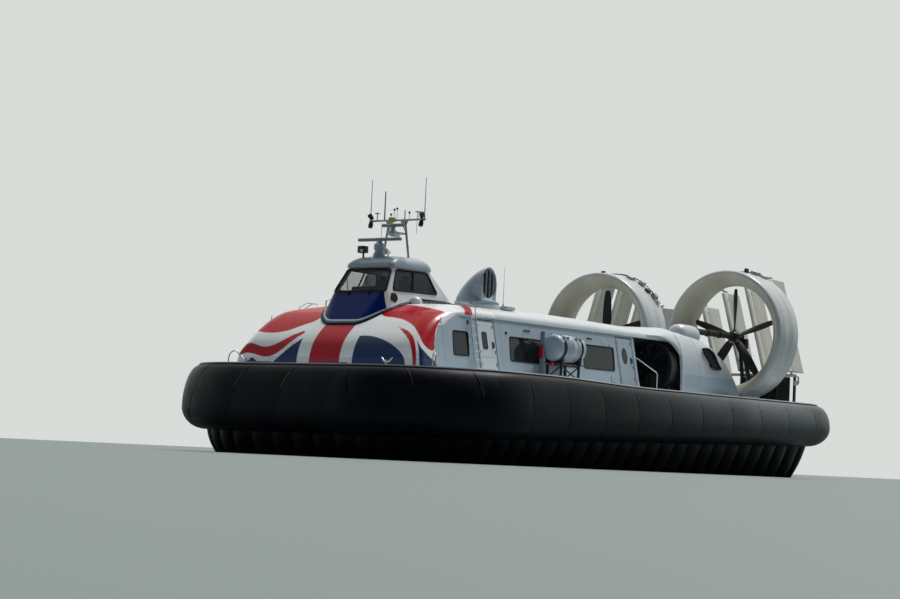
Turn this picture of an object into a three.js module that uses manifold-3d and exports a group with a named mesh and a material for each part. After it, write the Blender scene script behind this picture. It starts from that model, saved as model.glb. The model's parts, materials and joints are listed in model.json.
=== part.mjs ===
// Twin-engined passenger hovercraft on an inflated skirt.
// Millimetres. +X to the bow, +Y to port, +Z up, origin on the floor under the middle of the craft.
import * as THREE from 'three';
import { mergeVertices } from 'three/addons/utils/BufferGeometryUtils.js';
import Module from 'manifold-3d';

const wasm = await Module();
wasm.setup();

// Driving dimensions
const gap = 0.3;
const craftLength = 23700;
const craftBeam = 12700;
const bagBulge = 540;
const bowCorner = 4200;
const sternCorner = 1800;
const deckTop = 2620;
const deckThick = 90;
const hullSide = 400;
const hullBottom = 1250;
const wallCant = THREE.MathUtils.degToRad(12);
const wallFoot = 3740;
const wallThick = 90;
const eaveHeight = 4450;
const noseStart = 9000;
const noseAft = 5900;
const cabinAft = -1800;
const roofAft = -4300;
const roofRise = [[5900, 470], [4600, 500], [1400, 550], [-2100, 490], [-4300, 440]];
const ductY = 2780;
const ductZ = 5000;
const rudderCant = THREE.MathUtils.degToRad(16);
const thruster = { x: 4950, y: 1900, ringTop: 4990, mouth: THREE.MathUtils.degToRad(100) };

const sides = [['port', 1], ['starboard', -1]];
const whole = new THREE.Group();

const paint = (color, roughness = 0.5, metalness = 0) =>
  new THREE.MeshStandardMaterial({ color, roughness, metalness });
const finish = {
  hull: paint(0x3c4046, 0.6),
  deck: paint(0xb9bec2, 0.7),
  skirt: paint(0x1a1c22, 0.75),
  white: paint(0xe4e6e6, 0.4),
  panel: paint(0xb9c3cc, 0.45),
  glass: paint(0x20262c, 0.15),
  black: paint(0x15171a, 0.5),
  steel: paint(0x9aa0a6, 0.35, 0.7),
  cream: paint(0xd8d4c4, 0.5),
  seat: paint(0x2c3a5a, 0.8),
  raft: paint(0x8c9aa8, 0.5),
};

// Solids
function add(name, geometry, material) {
  const mesh = new THREE.Mesh(geometry, material);
  mesh.name = name;
  whole.add(mesh);
  return mesh;
}

// The same surface with shared corners and no normals or uvs
function welded(geometry, tolerance = 1e-3) {
  const bare = geometry.clone();
  bare.deleteAttribute('normal');
  bare.deleteAttribute('uv');
  return mergeVertices(bare, tolerance);
}

function toSolid(geometry) {
  const merged = welded(geometry);
  return new wasm.Manifold(new wasm.Mesh({
    numProp: 3,
    vertProperties: new Float32Array(merged.attributes.position.array),
    triVerts: new Uint32Array(merged.index.array),
  }));
}

function toGeometry(solid) {
  const mesh = solid.getMesh();
  const geometry = new THREE.BufferGeometry();
  geometry.setAttribute('position', new THREE.BufferAttribute(new Float32Array(mesh.vertProperties), 3));
  geometry.setIndex(new THREE.BufferAttribute(new Uint32Array(mesh.triVerts), 1));
  return geometry;
}

const unite = (...parts) => toGeometry(parts.map(toSolid).reduce((sum, part) => sum.add(part)));
const cut = (base, ...parts) =>
  toGeometry(parts.map(toSolid).reduce((rest, part) => rest.subtract(part), toSolid(base)));

function box(x0, x1, y0, y1, z0, z1) {
  const geometry = new THREE.BoxGeometry(x1 - x0, Math.abs(y1 - y0), z1 - z0);
  return geometry.translate((x0 + x1) / 2, (y0 + y1) / 2, (z0 + z1) / 2);
}

// A rod between two points
function rod(start, end, radius, segments = 8, endRadius = radius) {
  const from = new THREE.Vector3(...start);
  const to = new THREE.Vector3(...end);
  const along = to.clone().sub(from);
  const geometry = new THREE.CylinderGeometry(endRadius, radius, along.length(), segments);
  geometry.applyQuaternion(
    new THREE.Quaternion().setFromUnitVectors(new THREE.Vector3(0, 1, 0), along.clone().normalize()));
  return geometry.translate(...from.add(to).multiplyScalar(0.5).toArray());
}

// Closed skin over like loops; a chain of loops is capped at its ends, a ring of loops joins up
function skin(loops, ring = false) {
  const count = loops[0].length;
  const points = loops.flat().flat();
  const faces = [];
  const spans = ring ? loops.length : loops.length - 1;
  for (let i = 0; i < spans; i++) {
    const near = i * count;
    const far = ((i + 1) % loops.length) * count;
    for (let j = 0; j < count; j++) {
      const next = (j + 1) % count;
      faces.push(near + j, near + next, far + next, near + j, far + next, far + j);
    }
  }
  if (!ring) {
    for (const [loop, turned] of [[0, true], [loops.length - 1, false]]) {
      const middle = points.length / 3;
      const centre = [0, 1, 2].map((k) => loops[loop].reduce((sum, p) => sum + p[k], 0) / count);
      points.push(...centre);
      for (let j = 0; j < count; j++) {
        const a = loop * count + j;
        const b = loop * count + ((j + 1) % count);
        faces.push(middle, ...(turned ? [b, a] : [a, b]));
      }
    }
  }
  const geometry = new THREE.BufferGeometry();
  geometry.setAttribute('position', new THREE.Float32BufferAttribute(points, 3));
  geometry.setIndex(faces);
  return facesOut(geometry);
}

// Turns the faces out where the enclosed volume comes out negative
function facesOut(geometry) {
  const p = geometry.attributes.position;
  const index = geometry.index.array;
  let volume = 0;
  for (let i = 0; i < index.length; i += 3) {
    const [a, b, c] = [0, 1, 2].map((k) => new THREE.Vector3().fromBufferAttribute(p, index[i + k]));
    volume += a.dot(b.cross(c));
  }
  if (volume < 0) {
    for (let i = 0; i < index.length; i += 3) {
      [index[i + 1], index[i + 2]] = [index[i + 2], index[i + 1]];
    }
  }
  return geometry;
}

// A flat outline of [x, y] points pushed up from z0 to z1
function plate(outline, z0, z1) {
  const shape = new THREE.Shape(outline.map(([x, y]) => new THREE.Vector2(x, y)));
  const geometry = new THREE.ExtrudeGeometry(shape, { depth: z1 - z0, bevelEnabled: false });
  return geometry.translate(0, 0, z0);
}

const mirrored = (geometry, side) => {
  const turned = welded(geometry);
  if (side < 0) turned.scale(1, -1, 1);
  return facesOut(turned);
};

const lookUp = (table, x) => {
  const rows = [...table].sort((a, b) => a[0] - b[0]);
  if (x <= rows[0][0]) return rows[0][1];
  for (let i = 1; i < rows.length; i++) {
    if (x <= rows[i][0]) {
      const t = (x - rows[i - 1][0]) / (rows[i][0] - rows[i - 1][0]);
      return rows[i - 1][1] + t * (rows[i][1] - rows[i - 1][1]);
    }
  }
  return rows[rows.length - 1][1];
};

// Plan of the craft: points of the deck edge with their outward directions, anticlockwise from the bow
function planPoints(cornerSteps, sideSteps) { // steps round each corner, steps along the side after it
  const halfLength = craftLength / 2 - bagBulge;
  const halfBeam = craftBeam / 2 - bagBulge;
  const corners = [
    [halfLength - bowCorner, halfBeam - bowCorner, bowCorner, 0],
    [-halfLength + sternCorner, halfBeam - sternCorner, sternCorner, 1],
    [-halfLength + sternCorner, -halfBeam + sternCorner, sternCorner, 2],
    [halfLength - bowCorner, -halfBeam + bowCorner, bowCorner, 3],
  ];
  const points = [];
  corners.forEach(([x, y, radius, quarter], i) => {
    for (let step = 0; step <= cornerSteps[i]; step++) {
      const angle = (quarter + step / cornerSteps[i]) * Math.PI / 2;
      const out = [Math.cos(angle), Math.sin(angle)];
      points.push({ at: [x + radius * out[0], y + radius * out[1]], out });
    }
    const last = points[points.length - 1];
    const [nextX, nextY, nextRadius, nextQuarter] = corners[(i + 1) % 4];
    const turn = nextQuarter * Math.PI / 2;
    const target = [nextX + nextRadius * Math.cos(turn), nextY + nextRadius * Math.sin(turn)];
    const steps = sideSteps[i];
    for (let step = 1; step < steps; step++) {
      const t = step / steps;
      points.push({
        at: [0, 1].map((k) => last.at[k] + t * (target[k] - last.at[k])),
        out: last.out,
      });
    }
  });
  return points;
}
const offset = (point, distance) => [
  point.at[0] + point.out[0] * distance,
  point.at[1] + point.out[1] * distance,
];
const sparsePlan = planPoints([7, 5, 5, 7], [6, 2, 6, 2]);

// Hull raft with two landing skids under it, and the deck on top
const skids = [1, -1].map((side) =>
  box(-9000, 8000, side * 2300 - 250, side * 2300 + 250, hullBottom - 350, hullBottom + 50));
const raft = plate(sparsePlan.map((point) => offset(point, -hullSide)), hullBottom, deckTop - deckThick - gap);
add('hull_raft', unite(raft, ...skids), finish.hull);
add('deck', plate(sparsePlan.map((point) => offset(point, 0)), deckTop - deckThick, deckTop), finish.deck);

// Skirt bag: a ring of sections that are deep at the bow and shallow at the stern
const bagTop = deckTop - deckThick - gap;
const bagWidest = (x) => THREE.MathUtils.mapLinear(x, -11000, 11000, 1800, 1380);
const bagBottom = (point, out) => THREE.MathUtils.mapLinear(offset(point, out)[0], -11000, 11000, 1150, 680);
const bagFoot = -235;
const bagInner = -900;
const bagArc = 5;
const bagLoops = sparsePlan.map((point) => {
  const x = point.at[0];
  const section = [[-hullSide + gap, hullBottom - gap], [-hullSide + gap, bagTop], [0, bagTop]];
  for (let step = 1; step <= bagArc; step++) {
    const angle = Math.PI / 2 * (1 - step / bagArc);
    section.push([bagBulge * Math.cos(angle), bagWidest(x) + (bagTop - bagWidest(x)) * Math.sin(angle)]);
  }
  for (let step = 1; step <= bagArc; step++) {
    const angle = Math.PI / 2 * step / bagArc;
    const out = bagFoot + (bagBulge - bagFoot) * Math.cos(angle);
    section.push([out, bagWidest(x) - (bagWidest(x) - bagBottom(point, out)) * Math.sin(angle)]);
  }
  section.push([bagInner, bagBottom(point, bagInner)], [bagInner, hullBottom - gap]);
  return section.map(([out, z]) => [...offset(point, out), z]);
});
add('skirt_bag', skin(bagLoops, true), finish.skirt);

// Skirt fingers: scalloped loops that hang from the bag down to the surface
const fingerPlan = planPoints([21, 9, 9, 21], [54, 27, 54, 12]);
const fingerTip = -760;
const fingerDepth = 70;
const fingerLoops = fingerPlan.map((point, i) => {
  const bulge = i % 3 === 0 ? -fingerDepth : 0;
  const [outer, inner] = [bagFoot - 30 + bulge, bagInner - 60];
  const section = [
    [outer, bagBottom(point, outer) - gap], [fingerTip + bulge, 0], [fingerTip - 190, 0],
    [inner, bagBottom(point, inner) - gap],
  ];
  return section.map(([out, z]) => [...offset(point, out), z]);
});
add('skirt_fingers', skin(fingerLoops, true), finish.skirt);

// Section of the cabin: canted wall up to the eave, then the rounded roof, as fractions 0 to 1 of one half
const wallHalf = (height) => wallFoot - (height - deckTop) * Math.tan(wallCant);
const eaveHalf = wallHalf(eaveHeight);
const roofPower = 2.6;
const archSteps = 6;

function roofHalf(rise, inset) {
  const points = [];
  for (let step = 0; step <= archSteps; step++) {
    const angle = Math.PI / 2 * step / archSteps;
    points.push([
      (eaveHalf - inset) * Math.cos(angle) ** (2 / roofPower),
      eaveHeight + gap + (rise - inset) * Math.sin(angle) ** (2 / roofPower),
    ]);
  }
  return points;
}

// Cabin roof shell
function roofSolid(inset, from, to) {
  const loops = [];
  const stations = [from, 4600, 3000, 1400, -400, -2100, to];
  for (const x of stations) {
    const half = roofHalf(lookUp(roofRise, x), inset);
    const other = half.slice(0, -1).reverse().map(([y, z]) => [-y, z]);
    loops.push([...half, ...other].map(([y, z]) => [x, y, z - (inset > 0 ? 1 : 0)]));
  }
  return skin(loops);
}
const thrusterRings = [1, -1].map((side) =>
  rod([thruster.x, side * thruster.y, 4600], [thruster.x, side * thruster.y, thruster.ringTop], 740, 24));
add('cabin_roof', cut(unite(roofSolid(0, noseAft - gap, roofAft), ...thrusterRings),
  roofSolid(100, noseAft + 100, roofAft - 100)), finish.white);

// Nose shell: level outlines, rounder in plan with height, that end flat on the roof's first section
const noseLevels = [ // height, front x, x where the corner starts, reach of the corner across
  [2620, 9920, 9700, 220],
  [2970, 9900, 9680, 220],
  [3180, 9850, 9600, 250],
  [3450, 9740, 9300, 440],
  [3700, 9550, 9050, 500],
  [3950, 9290, 8780, 510],
  [4220, 8970, 8390, 580],
  [4450, 8620, 7880, 740],
  [4540, 8400, 7480, 920],
  [4660, 8050, 6650, 1400],
  [4780, 7550, 6050, 1560],
  [4860, 6900, 5930, 1600],
  [4910, 6250, 5910, 1600],
];
const cornerSteps = 8;
const noseHalf = (z) => (z <= eaveHeight ? wallHalf(z)
  : eaveHalf * (1 - ((z - eaveHeight) / roofRise[0][1]) ** roofPower) ** (1 / roofPower));
function noseSolid(inset, aft) {
  const loops = noseLevels.map(([z, front, corner, reach]) => {
    const half = noseHalf(z);
    const across = Math.min(reach, half - 40);
    const port = [[aft, half - inset]];
    for (let step = 0; step <= cornerSteps; step++) {
      const angle = Math.PI / 2 * step / cornerSteps;
      port.push([corner + (front - inset - corner) * Math.sin(angle),
        half - across + (across - inset) * Math.cos(angle)]);
    }
    const starboard = [...port].reverse().map(([x, y]) => [x, -y]);
    const lift = inset > 0 ? -inset * THREE.MathUtils.smoothstep(z, 3450, eaveHeight) - 2 : -inset;
    return [...port, ...starboard].map(([x, y]) => [x, y, z + gap + (z < 2700 && inset < 0 ? -gap : lift)]);
  });
  return skin(loops);
}
// Where the side wall ends under the nose: x, height, from the roof's end down to the deck
const wallEnd = [[noseAft, eaveHeight], [7800, eaveHeight], [8300, 4220], [8720, 3950], [noseStart, 3700]];
const wallRoom = facesOut(welded(plate([
  [noseAft - 200, deckTop - 100], [noseStart, deckTop - 100],
  ...[...wallEnd].reverse(), [noseAft - 200, eaveHeight],
], -4500, 4500)).applyMatrix4(new THREE.Matrix4().set(1, 0, 0, 0, 0, 0, 1, 0, 0, 1, 0, 0, 0, 0, 0, 1)));
add('nose_shell', cut(noseSolid(0, noseAft), noseSolid(90, noseAft - 90), wallRoom), finish.white);

// Side walls, doors and glazing are drawn flat, [x, height up the slope], and leaned in
const slope = (height) => (height - deckTop) / Math.cos(wallCant);
const slopeTop = slope(eaveHeight) - 2 * gap;
const doorTable = [ // name, hinge edge x, free edge x, sill height, top height
  ['fore_door', 6900, 6050, 2700, 4330],
  ['aft_door', -730, -1600, 2700, 4330],
];
const windowTable = [ // aft edge x, fore edge x, sill height, top height
  [7420, 8150, 3220, 3930],
  [3550, 5300, 3210, 3940],
  [1550, 3300, 3220, 3960],
  [-450, 1300, 3230, 3980],
];
const doorClear = 12;
const frame = (x0, x1, low, high) => {
  const rake = (high - low) * 0.06;
  return [[x0 + rake, low], [x1 + rake, low], [x1 - rake, high], [x0 - rake, high]];
};
const upright = (x0, x1, low, high) => [[x0, low], [x1, low], [x1, high], [x0, high]];

// Leans a flat drawing (x, slope height, outward depth) onto the canted wall of one side
function lean(geometry, side, outward = 0) {
  const basis = new THREE.Matrix4().set(
    1, 0, 0, 0,
    0, -Math.sin(wallCant), Math.cos(wallCant), wallFoot + outward * Math.cos(wallCant),
    0, Math.cos(wallCant), Math.sin(wallCant), deckTop + gap + outward * Math.sin(wallCant),
    0, 0, 0, 1);
  return mirrored(facesOut(welded(geometry).applyMatrix4(basis)), side);
}

for (const [sideName, side] of sides) {
  const holes = windowTable.map(([x0, x1, low, high]) => frame(x0, x1, slope(low), slope(high)));
  for (const [, hinge, free, low, high] of doorTable) {
    holes.push(upright(free - doorClear, hinge + gap, slope(low) - doorClear, slope(high) + doorClear));
  }
  const footLift = wallThick * Math.tan(wallCant);
  const wallOutline = [[cabinAft + gap, footLift], [noseStart - gap, footLift],
    ...[...wallEnd].reverse().map(([x, z]) => [x - gap, slope(z) - 2 * gap]), [cabinAft + gap, slopeTop]];
  const wall = cut(plate(wallOutline, -wallThick, 0),
    ...holes.map((hole) => plate(hole, -2 * wallThick, wallThick)));
  add(`side_wall_${sideName}`, lean(wall, side), finish.panel);
  for (const [name, hinge, free, low, high] of doorTable) {
    const door = plate(upright(free, hinge, slope(low), slope(high)), -wallThick + 20, 0);
    add(`${name}_${sideName}`, lean(door, side), finish.panel);
  }
  const paneTable = [ // name, corners as x and height
    ['fore_glass', [[7360, 3150], [8200, 3150], [8200, 3600], [8130, 3945], [7360, 3970]]],
    ['cabin_glass', [[-560, 3120], [5420, 3120], [5420, 4060], [-560, 4060]]],
  ];
  for (const [name, corners] of paneTable) {
    const outline = corners.map(([x, z]) => [x, slope(z)]);
    const pane = plate(outline, -wallThick - 10 - gap, -wallThick - gap);
    add(`${name}_${sideName}`, lean(pane, side), finish.glass);
  }
}

// Rear bulkhead with the inner walls of the two lift fan bays
const bayInner = 750;
const bulkheadThick = 60;
const bulkheadHalf = (z) => wallHalf(z) - 10;
const bulkheadOutline = [
  [-bulkheadHalf(deckTop), deckTop + gap], [bulkheadHalf(deckTop), deckTop + gap],
  [bulkheadHalf(eaveHeight) - 150, eaveHeight], [-bulkheadHalf(eaveHeight) + 150, eaveHeight],
];
const upPlate = (outline, x0, x1) => facesOut(welded(plate(outline, x0, x1))
  .applyMatrix4(new THREE.Matrix4().set(0, 0, 1, 0, 1, 0, 0, 0, 0, 1, 0, 0, 0, 0, 0, 1)));
const bulkhead = upPlate(bulkheadOutline, cabinAft - bulkheadThick, cabinAft);
const bayWalls = [1, -1].map((side) => {
  const [inner, outer] = [side * bayInner, side * (bayInner + bulkheadThick)];
  return box(roofAft + gap, cabinAft - 30, Math.min(inner, outer), Math.max(inner, outer),
    deckTop + gap, eaveHeight);
});
add('rear_bulkhead', unite(bulkhead, ...bayWalls), finish.panel);

// Passenger seats: rows on one low plinth
const seatRows = [];
for (let row = 0; row < 7; row++) {
  const x = 6000 - row * 1000;
  for (const side of [1, -1]) {
    const [y0, y1] = side > 0 ? [450, 2900] : [-2900, -450];
    seatRows.push(box(x - 450, x, y0, y1, 2700, 3080));
    seatRows.push(box(x - 560, x - 440, y0, y1, 2700, 3650));
  }
}
add('passenger_seats', unite(box(-700, 6300, -3000, 3000, deckTop + gap, 2720), ...seatRows), finish.seat);

// Wheelhouse: table of rings, [height, front x, aft x, front half width, aft half width, corner radius]
const houseRings = {
  foot: [3900, 9260, 4958, 1474, 1443, 1050],
  sill: [5080, 8470, 5560, 1120, 1290, 260],
  head: [5880, 7980, 6230, 900, 1010, 150],
};
const houseThick = 70;
const houseCorner = 4;
function houseLoop([z, front, aft, frontHalf, aftHalf, radius], inset = 0) {
  const port = [];
  for (let step = 0; step <= houseCorner; step++) {
    const angle = Math.PI / 2 * step / houseCorner;
    port.push([front - radius + (radius - inset) * Math.cos(angle),
      frontHalf - radius + (radius - inset) * Math.sin(angle), z]);
  }
  port.push([aft + inset, aftHalf - inset, z]);
  return [...port, ...port.map(([x, y]) => [x, -y, z]).reverse()];
}
const houseAt = (z, inset) => {
  const [low, high] = z < houseRings.sill[0]
    ? [houseRings.foot, houseRings.sill] : [houseRings.sill, houseRings.head];
  const t = (z - low[0]) / (high[0] - low[0]);
  const ring = low.map((value, k) => THREE.MathUtils.lerp(value, high[k], t));
  return houseLoop(ring, inset);
};
const houseSolid = (inset, reach) => skin([houseRings.foot[0] - reach, houseRings.sill[0],
  houseRings.head[0] + reach].map((z) => houseAt(z, inset)));
const windscreenCut = skin([5130, 5840].map((z) => {
  const half = z < 5500 ? 960 : 780;
  return [[7300, -half, z], [9000, -half, z], [9000, half, z], [7300, half, z]];
}));
const sideCuts = sides.map(([, side]) => {
  const outline = [[8120, 5180], [6130, 5200], [6420, 5840], [7780, 5840]];
  const pane = plate(outline, 0, 700).applyMatrix4(new THREE.Matrix4().set(
    1, 0, 0, 0, 0, 0, side, side > 0 ? 850 : -850, 0, 1, 0, 0, 0, 0, 0, 1));
  return facesOut(welded(pane));
});
const roofCutter = roofSolid(-gap, noseAft + gap, roofAft);
const noseCutter = noseSolid(-gap, noseAft - gap);
const houseShell = toSolid(houseSolid(0, 0)).subtract(toSolid(houseSolid(houseThick, 50)))
  .subtract(toSolid(windscreenCut)).subtract(toSolid(sideCuts[0])).subtract(toSolid(sideCuts[1]))
  .subtract(toSolid(roofCutter)).subtract(toSolid(noseCutter));
add('wheelhouse_shell', toGeometry(houseShell.decompose().sort((a, b) => b.volume() - a.volume())[0]),
  finish.white);
const glassBand = toSolid(box(5000, 9000, -1500, 1500, 5090, 5875));
add('wheelhouse_glass', toGeometry(toSolid(houseSolid(houseThick + gap, 50)).intersect(glassBand)
  .subtract(toSolid(houseSolid(houseThick + 12, 60)))), finish.glass);
const houseRoof = skin([
  houseLoop([5880 + gap, 8040, 6190, 940, 1050, 160]), houseLoop([6060, 8000, 6230, 930, 1030, 190]),
  houseLoop([6230, 7760, 6420, 780, 880, 280]), houseLoop([6300, 7400, 6700, 520, 560, 320]),
]);
const radarSeat = { x: 7560, top: 6320, radius: 190 };
add('wheelhouse_roof', unite(houseRoof,
  rod([radarSeat.x, 0, 6100], [radarSeat.x, 0, radarSeat.top], radarSeat.radius, 16)), finish.white);

// Crew: wheelhouse floor, console and two seats as one piece
const crewFloor = 4990;
const floorBand = toSolid(box(5000, 9000, -1500, 1500, crewFloor, crewFloor + 40));
const crew = [toGeometry(toSolid(houseSolid(houseThick + gap, 50)).intersect(floorBand)),
  box(7650, 7880, -800, 800, crewFloor, crewFloor + 350)];
for (const side of [1, -1]) {
  crew.push(box(6800, 7250, side * 450 - 230, side * 450 + 230, crewFloor, crewFloor + 260));
  crew.push(box(6700, 6810, side * 450 - 230, side * 450 + 230, crewFloor, crewFloor + 720));
}
add('crew_seats', unite(...crew), finish.seat);

// Engine bays: cowl, engine block and lift fan on each side
const cowlFront = roofAft - gap;
const cowlAft = -8380;
const cowlSteps = 6;
function cowlSolid(inset, from, to) {
  const stations = [from, -5100, -5900, -6700, -7300, -7750, -8100, to];
  const loops = stations.map((x) => {
    const s = THREE.MathUtils.clamp((cowlFront - x) / (cowlFront - cowlAft), 0, 1);
    const height = 100 + 2160 * Math.max(1 - s ** 3.2, 0) ** 0.5 - inset;
    const inner = bayInner + inset;
    const outer = wallFoot - inset - 60 * s;
    const points = [];
    for (let step = 0; step <= 2 * cowlSteps; step++) {
      const angle = Math.PI * step / (2 * cowlSteps);
      const half = (outer - inner) / 2;
      const reach = Math.sign(Math.cos(angle)) * Math.abs(Math.cos(angle)) ** (2 / 3.4);
      points.push([x, (outer + inner) / 2 + half * reach,
        deckTop + gap + height * Math.sin(angle) ** (2 / 3.4) - (inset > 0 ? 2 : 0)]);
    }
    return points;
  });
  return skin(loops);
}
const fan = { x: -4150, y: 2700, z: 3560, radius: 780, hubHalf: 160, hubRadius: 230 };
for (const [sideName, side] of sides) {
  const louvre = box(-6950, -6250, 3200, 4200, 3720, 4300);
  const cowl = cut(cowlSolid(0, cowlFront, cowlAft), cowlSolid(70, cowlFront + 70, cowlAft + 110), louvre);
  add(`engine_cowl_${sideName}`, mirrored(cowl, side), finish.white);
  add(`engine_block_${sideName}`, mirrored(
    unite(box(-7000, -5000, 1500, 2900, deckTop + 150, 4050), box(-6900, -5100, 1700, 2700, deckTop + gap, 2800),
      rod([-5050, fan.y, fan.z], [fan.x - fan.hubHalf - gap, fan.y, fan.z], 80, 12)),
    side), finish.hull);
  const blades = [];
  for (let blade = 0; blade < 12; blade++) {
    const vane = box(-90, 90, -70, 70, 150, fan.radius).rotateZ(0.5);
    blades.push(vane.rotateX(blade * Math.PI / 6));
  }
  const hub = rod([-fan.hubHalf, 0, 0], [fan.hubHalf, 0, 0], fan.hubRadius, 16);
  const wheel = unite(hub, ...blades).translate(fan.x, fan.y, fan.z);
  add(`lift_fan_${sideName}`, mirrored(wheel, side), finish.black);
}

// Ducts with a bell-mouth lip, standing on a foot, and the propeller, pylon and shaft inside
const ductProfile = [ // [distance aft of the lip, radius], outside then inside
  [40, 2270], [130, 2330], [420, 2330], [1400, 2310], [1420, 2260], [1400, 1950],
  [900, 1810], [620, 1810], [350, 1880], [150, 2010], [30, 2140], [0, 2210],
];
const ductLip = -8480;
function ductSolid() {
  const points = ductProfile.map(([back, radius]) => new THREE.Vector2(radius, -back));
  points.push(points[0].clone());
  const ring = new THREE.LatheGeometry(points, 40);
  return facesOut(welded(ring.rotateZ(-Math.PI / 2).translate(ductLip, 0, 0), 1e-2));
}
// The space inside the duct, a little short of its wall
function ductBore() {
  const wall = ductProfile.slice(5, 7).map(([back, radius]) => new THREE.Vector2(radius - gap, -back));
  const points = [new THREE.Vector2(0, wall[0].y), ...wall, new THREE.Vector2(0, wall[1].y)];
  const bore = new THREE.LatheGeometry(points, 40);
  return facesOut(welded(bore.rotateZ(-Math.PI / 2).translate(ductLip, ductY, ductZ), 1e-2));
}

const propX = -9320;
const hubHalf = 170;
const bladeTable = [ // radius, chord, thickness, pitch in degrees
  [150, 260, 90, 62], [600, 330, 50, 45], [1200, 300, 30, 30], [1730, 200, 16, 22],
];
function bladeSolid(turn) {
  const loops = bladeTable.map(([radius, chord, thick, pitch]) => {
    const angle = THREE.MathUtils.degToRad(pitch);
    const section = [[-chord / 2, 0], [-chord / 6, thick / 2], [chord / 4, thick / 3], [chord / 2, 0],
      [chord / 4, -thick / 4], [-chord / 6, -thick / 3]];
    return section.map(([along, across]) => [
      along * Math.sin(angle) + across * Math.cos(angle),
      along * Math.cos(angle) - across * Math.sin(angle), radius]);
  });
  return skin(loops).rotateX(turn);
}
const shaftZ = 4985;
const rudderHinge = -10260;
const rudderTable = [ // name, distance outboard of the duct's middle, top of the vane
  ['inner', -1500, 6130], ['middle_inner', -500, 6630], ['middle_outer', 500, 6880], ['outer', 1500, 6880],
];
const rudderLow = 3780;
const rudderHigh = 6880;
for (const [sideName, side] of sides) {
  const foot = cut(box(ductLip - 1300, ductLip - 150, -900, 900, deckTop + gap - ductZ, -1900),
    rod([ductLip - 1500, 0, 0], [ductLip + 100, 0, 0], 2100, 40));
  const duct = toGeometry(toSolid(ductSolid()).add(toSolid(foot))).translate(0, side * ductY, ductZ);
  add(`duct_${sideName}`, duct, finish.cream);

  const shaft = rod([-6400, ductY, shaftZ], [propX + hubHalf + gap, ductY, shaftZ], 110, 12);
  const fairing = cut(rod([-6600, ductY, 4780], [-5200, ductY, 4780], 380, 16),
    cowlSolid(-gap, cowlFront, cowlAft));
  add(`shaft_housing_${sideName}`, mirrored(unite(shaft, fairing), side), finish.black);

  const bladesHub = [rod([-hubHalf, 0, 0], [hubHalf, 0, 0], 190, 20)];
  for (let blade = 0; blade < 5; blade++) bladesHub.push(bladeSolid(blade * Math.PI * 2 / 5));
  add(`propeller_${sideName}`,
    mirrored(unite(...bladesHub).translate(propX, ductY, shaftZ), side), finish.black);

  const pylonX = -9700;
  const bearing = rod([propX - hubHalf - gap, ductY, shaftZ], [pylonX - 120, ductY, shaftZ], 150, 16);
  const legs = [-190, 190].map((spread) => toGeometry(
    toSolid(rod([pylonX, ductY, shaftZ], [pylonX, ductY + 420 + spread, shaftZ - 1950], 70, 10))
      .intersect(toSolid(ductBore()))));
  const bracket = box(pylonX - 100, pylonX + 100, ductY + 20, ductY + 330, shaftZ - 420, shaftZ - 60);
  add(`pylon_${sideName}`, mirrored(unite(bearing, ...legs, bracket), side), finish.black);

  // Rudders hang between a top beam on the duct and the guard cage on deck
  for (const [name, across, top] of rudderTable) {
    const length = (rudderHigh - rudderLow) / Math.cos(rudderCant);
    const outline = [[290, 0], [200, 60], [0, 75], [-300, 45], [-700, 8], [-700, -8], [-300, -45], [0, -75], [200, -60]];
    const vane = plate(outline, 0, (top - rudderLow) / Math.cos(rudderCant));
    const pins = rod([0, 0, -60], [0, 0, length + 60], 30, 10);
    const rudder = unite(vane, pins);
    rudder.rotateX(rudderCant);
    const lowY = ductY + across + (ductZ - rudderLow) * Math.tan(rudderCant);
    rudder.translate(rudderHinge, lowY, rudderLow);
    add(`rudder_${name}_${sideName}`, mirrored(rudder, side), finish.panel);
  }
}

// Rudder carriers: a beam on the back of each duct above, a guard cage with a lower beam on the deck
const beamHalf = 60;
const pinReach = 60 * Math.cos(rudderCant) + 30 * Math.sin(rudderCant) + 2 * gap;
const beamLowTop = rudderLow - pinReach;
const beamHighBottom = rudderHigh + pinReach;
const rudderDip = 700 * Math.sin(THREE.MathUtils.degToRad(30)) * Math.sin(rudderCant);
const cage = { x0: -10900, x1: -9980, y0: 2700, y1: 4250, bar: 50, top: rudderLow - rudderDip - 60 };
for (const [sideName, side] of sides) {
  const [hingeBack, hingeFore] = [rudderHinge - beamHalf, rudderHinge + beamHalf];
  const arms = [-900, 900].map((across) => box(hingeBack + 20, ductLip - 1420 - gap,
    ductY + across - 40, ductY + across + 40, beamHighBottom, beamHighBottom + 80));
  add(`rudder_beam_${sideName}`, mirrored(unite(
    box(hingeBack, hingeFore, ductY - 2200, ductY + 1120, beamHighBottom, beamHighBottom + 100), ...arms), side),
    finish.steel);

  const bars = [box(hingeBack, hingeFore, 1450, 4850, beamLowTop - 100, beamLowTop)];
  for (const y of [1500, 4750]) {
    bars.push(box(hingeBack + 10, hingeFore - 10, y, y + 80, deckTop + gap, beamLowTop - 50));
  }
  for (const x of [cage.x0, cage.x1 - cage.bar]) {
    for (const y of [cage.y0, cage.y1 - cage.bar]) {
      bars.push(box(x, x + cage.bar, y, y + cage.bar, deckTop + gap, cage.top));
    }
    for (const z of [deckTop + gap, cage.top - cage.bar]) {
      bars.push(box(x, x + cage.bar, cage.y0, cage.y1, z, z + cage.bar));
    }
  }
  for (const y of [cage.y0, cage.y1 - cage.bar]) {
    for (const z of [deckTop + gap, cage.top - cage.bar]) {
      bars.push(box(cage.x0, cage.x1, y, y + cage.bar, z, z + cage.bar));
    }
  }
  add(`guard_cage_${sideName}`, mirrored(unite(...bars), side), finish.black);
}

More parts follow.
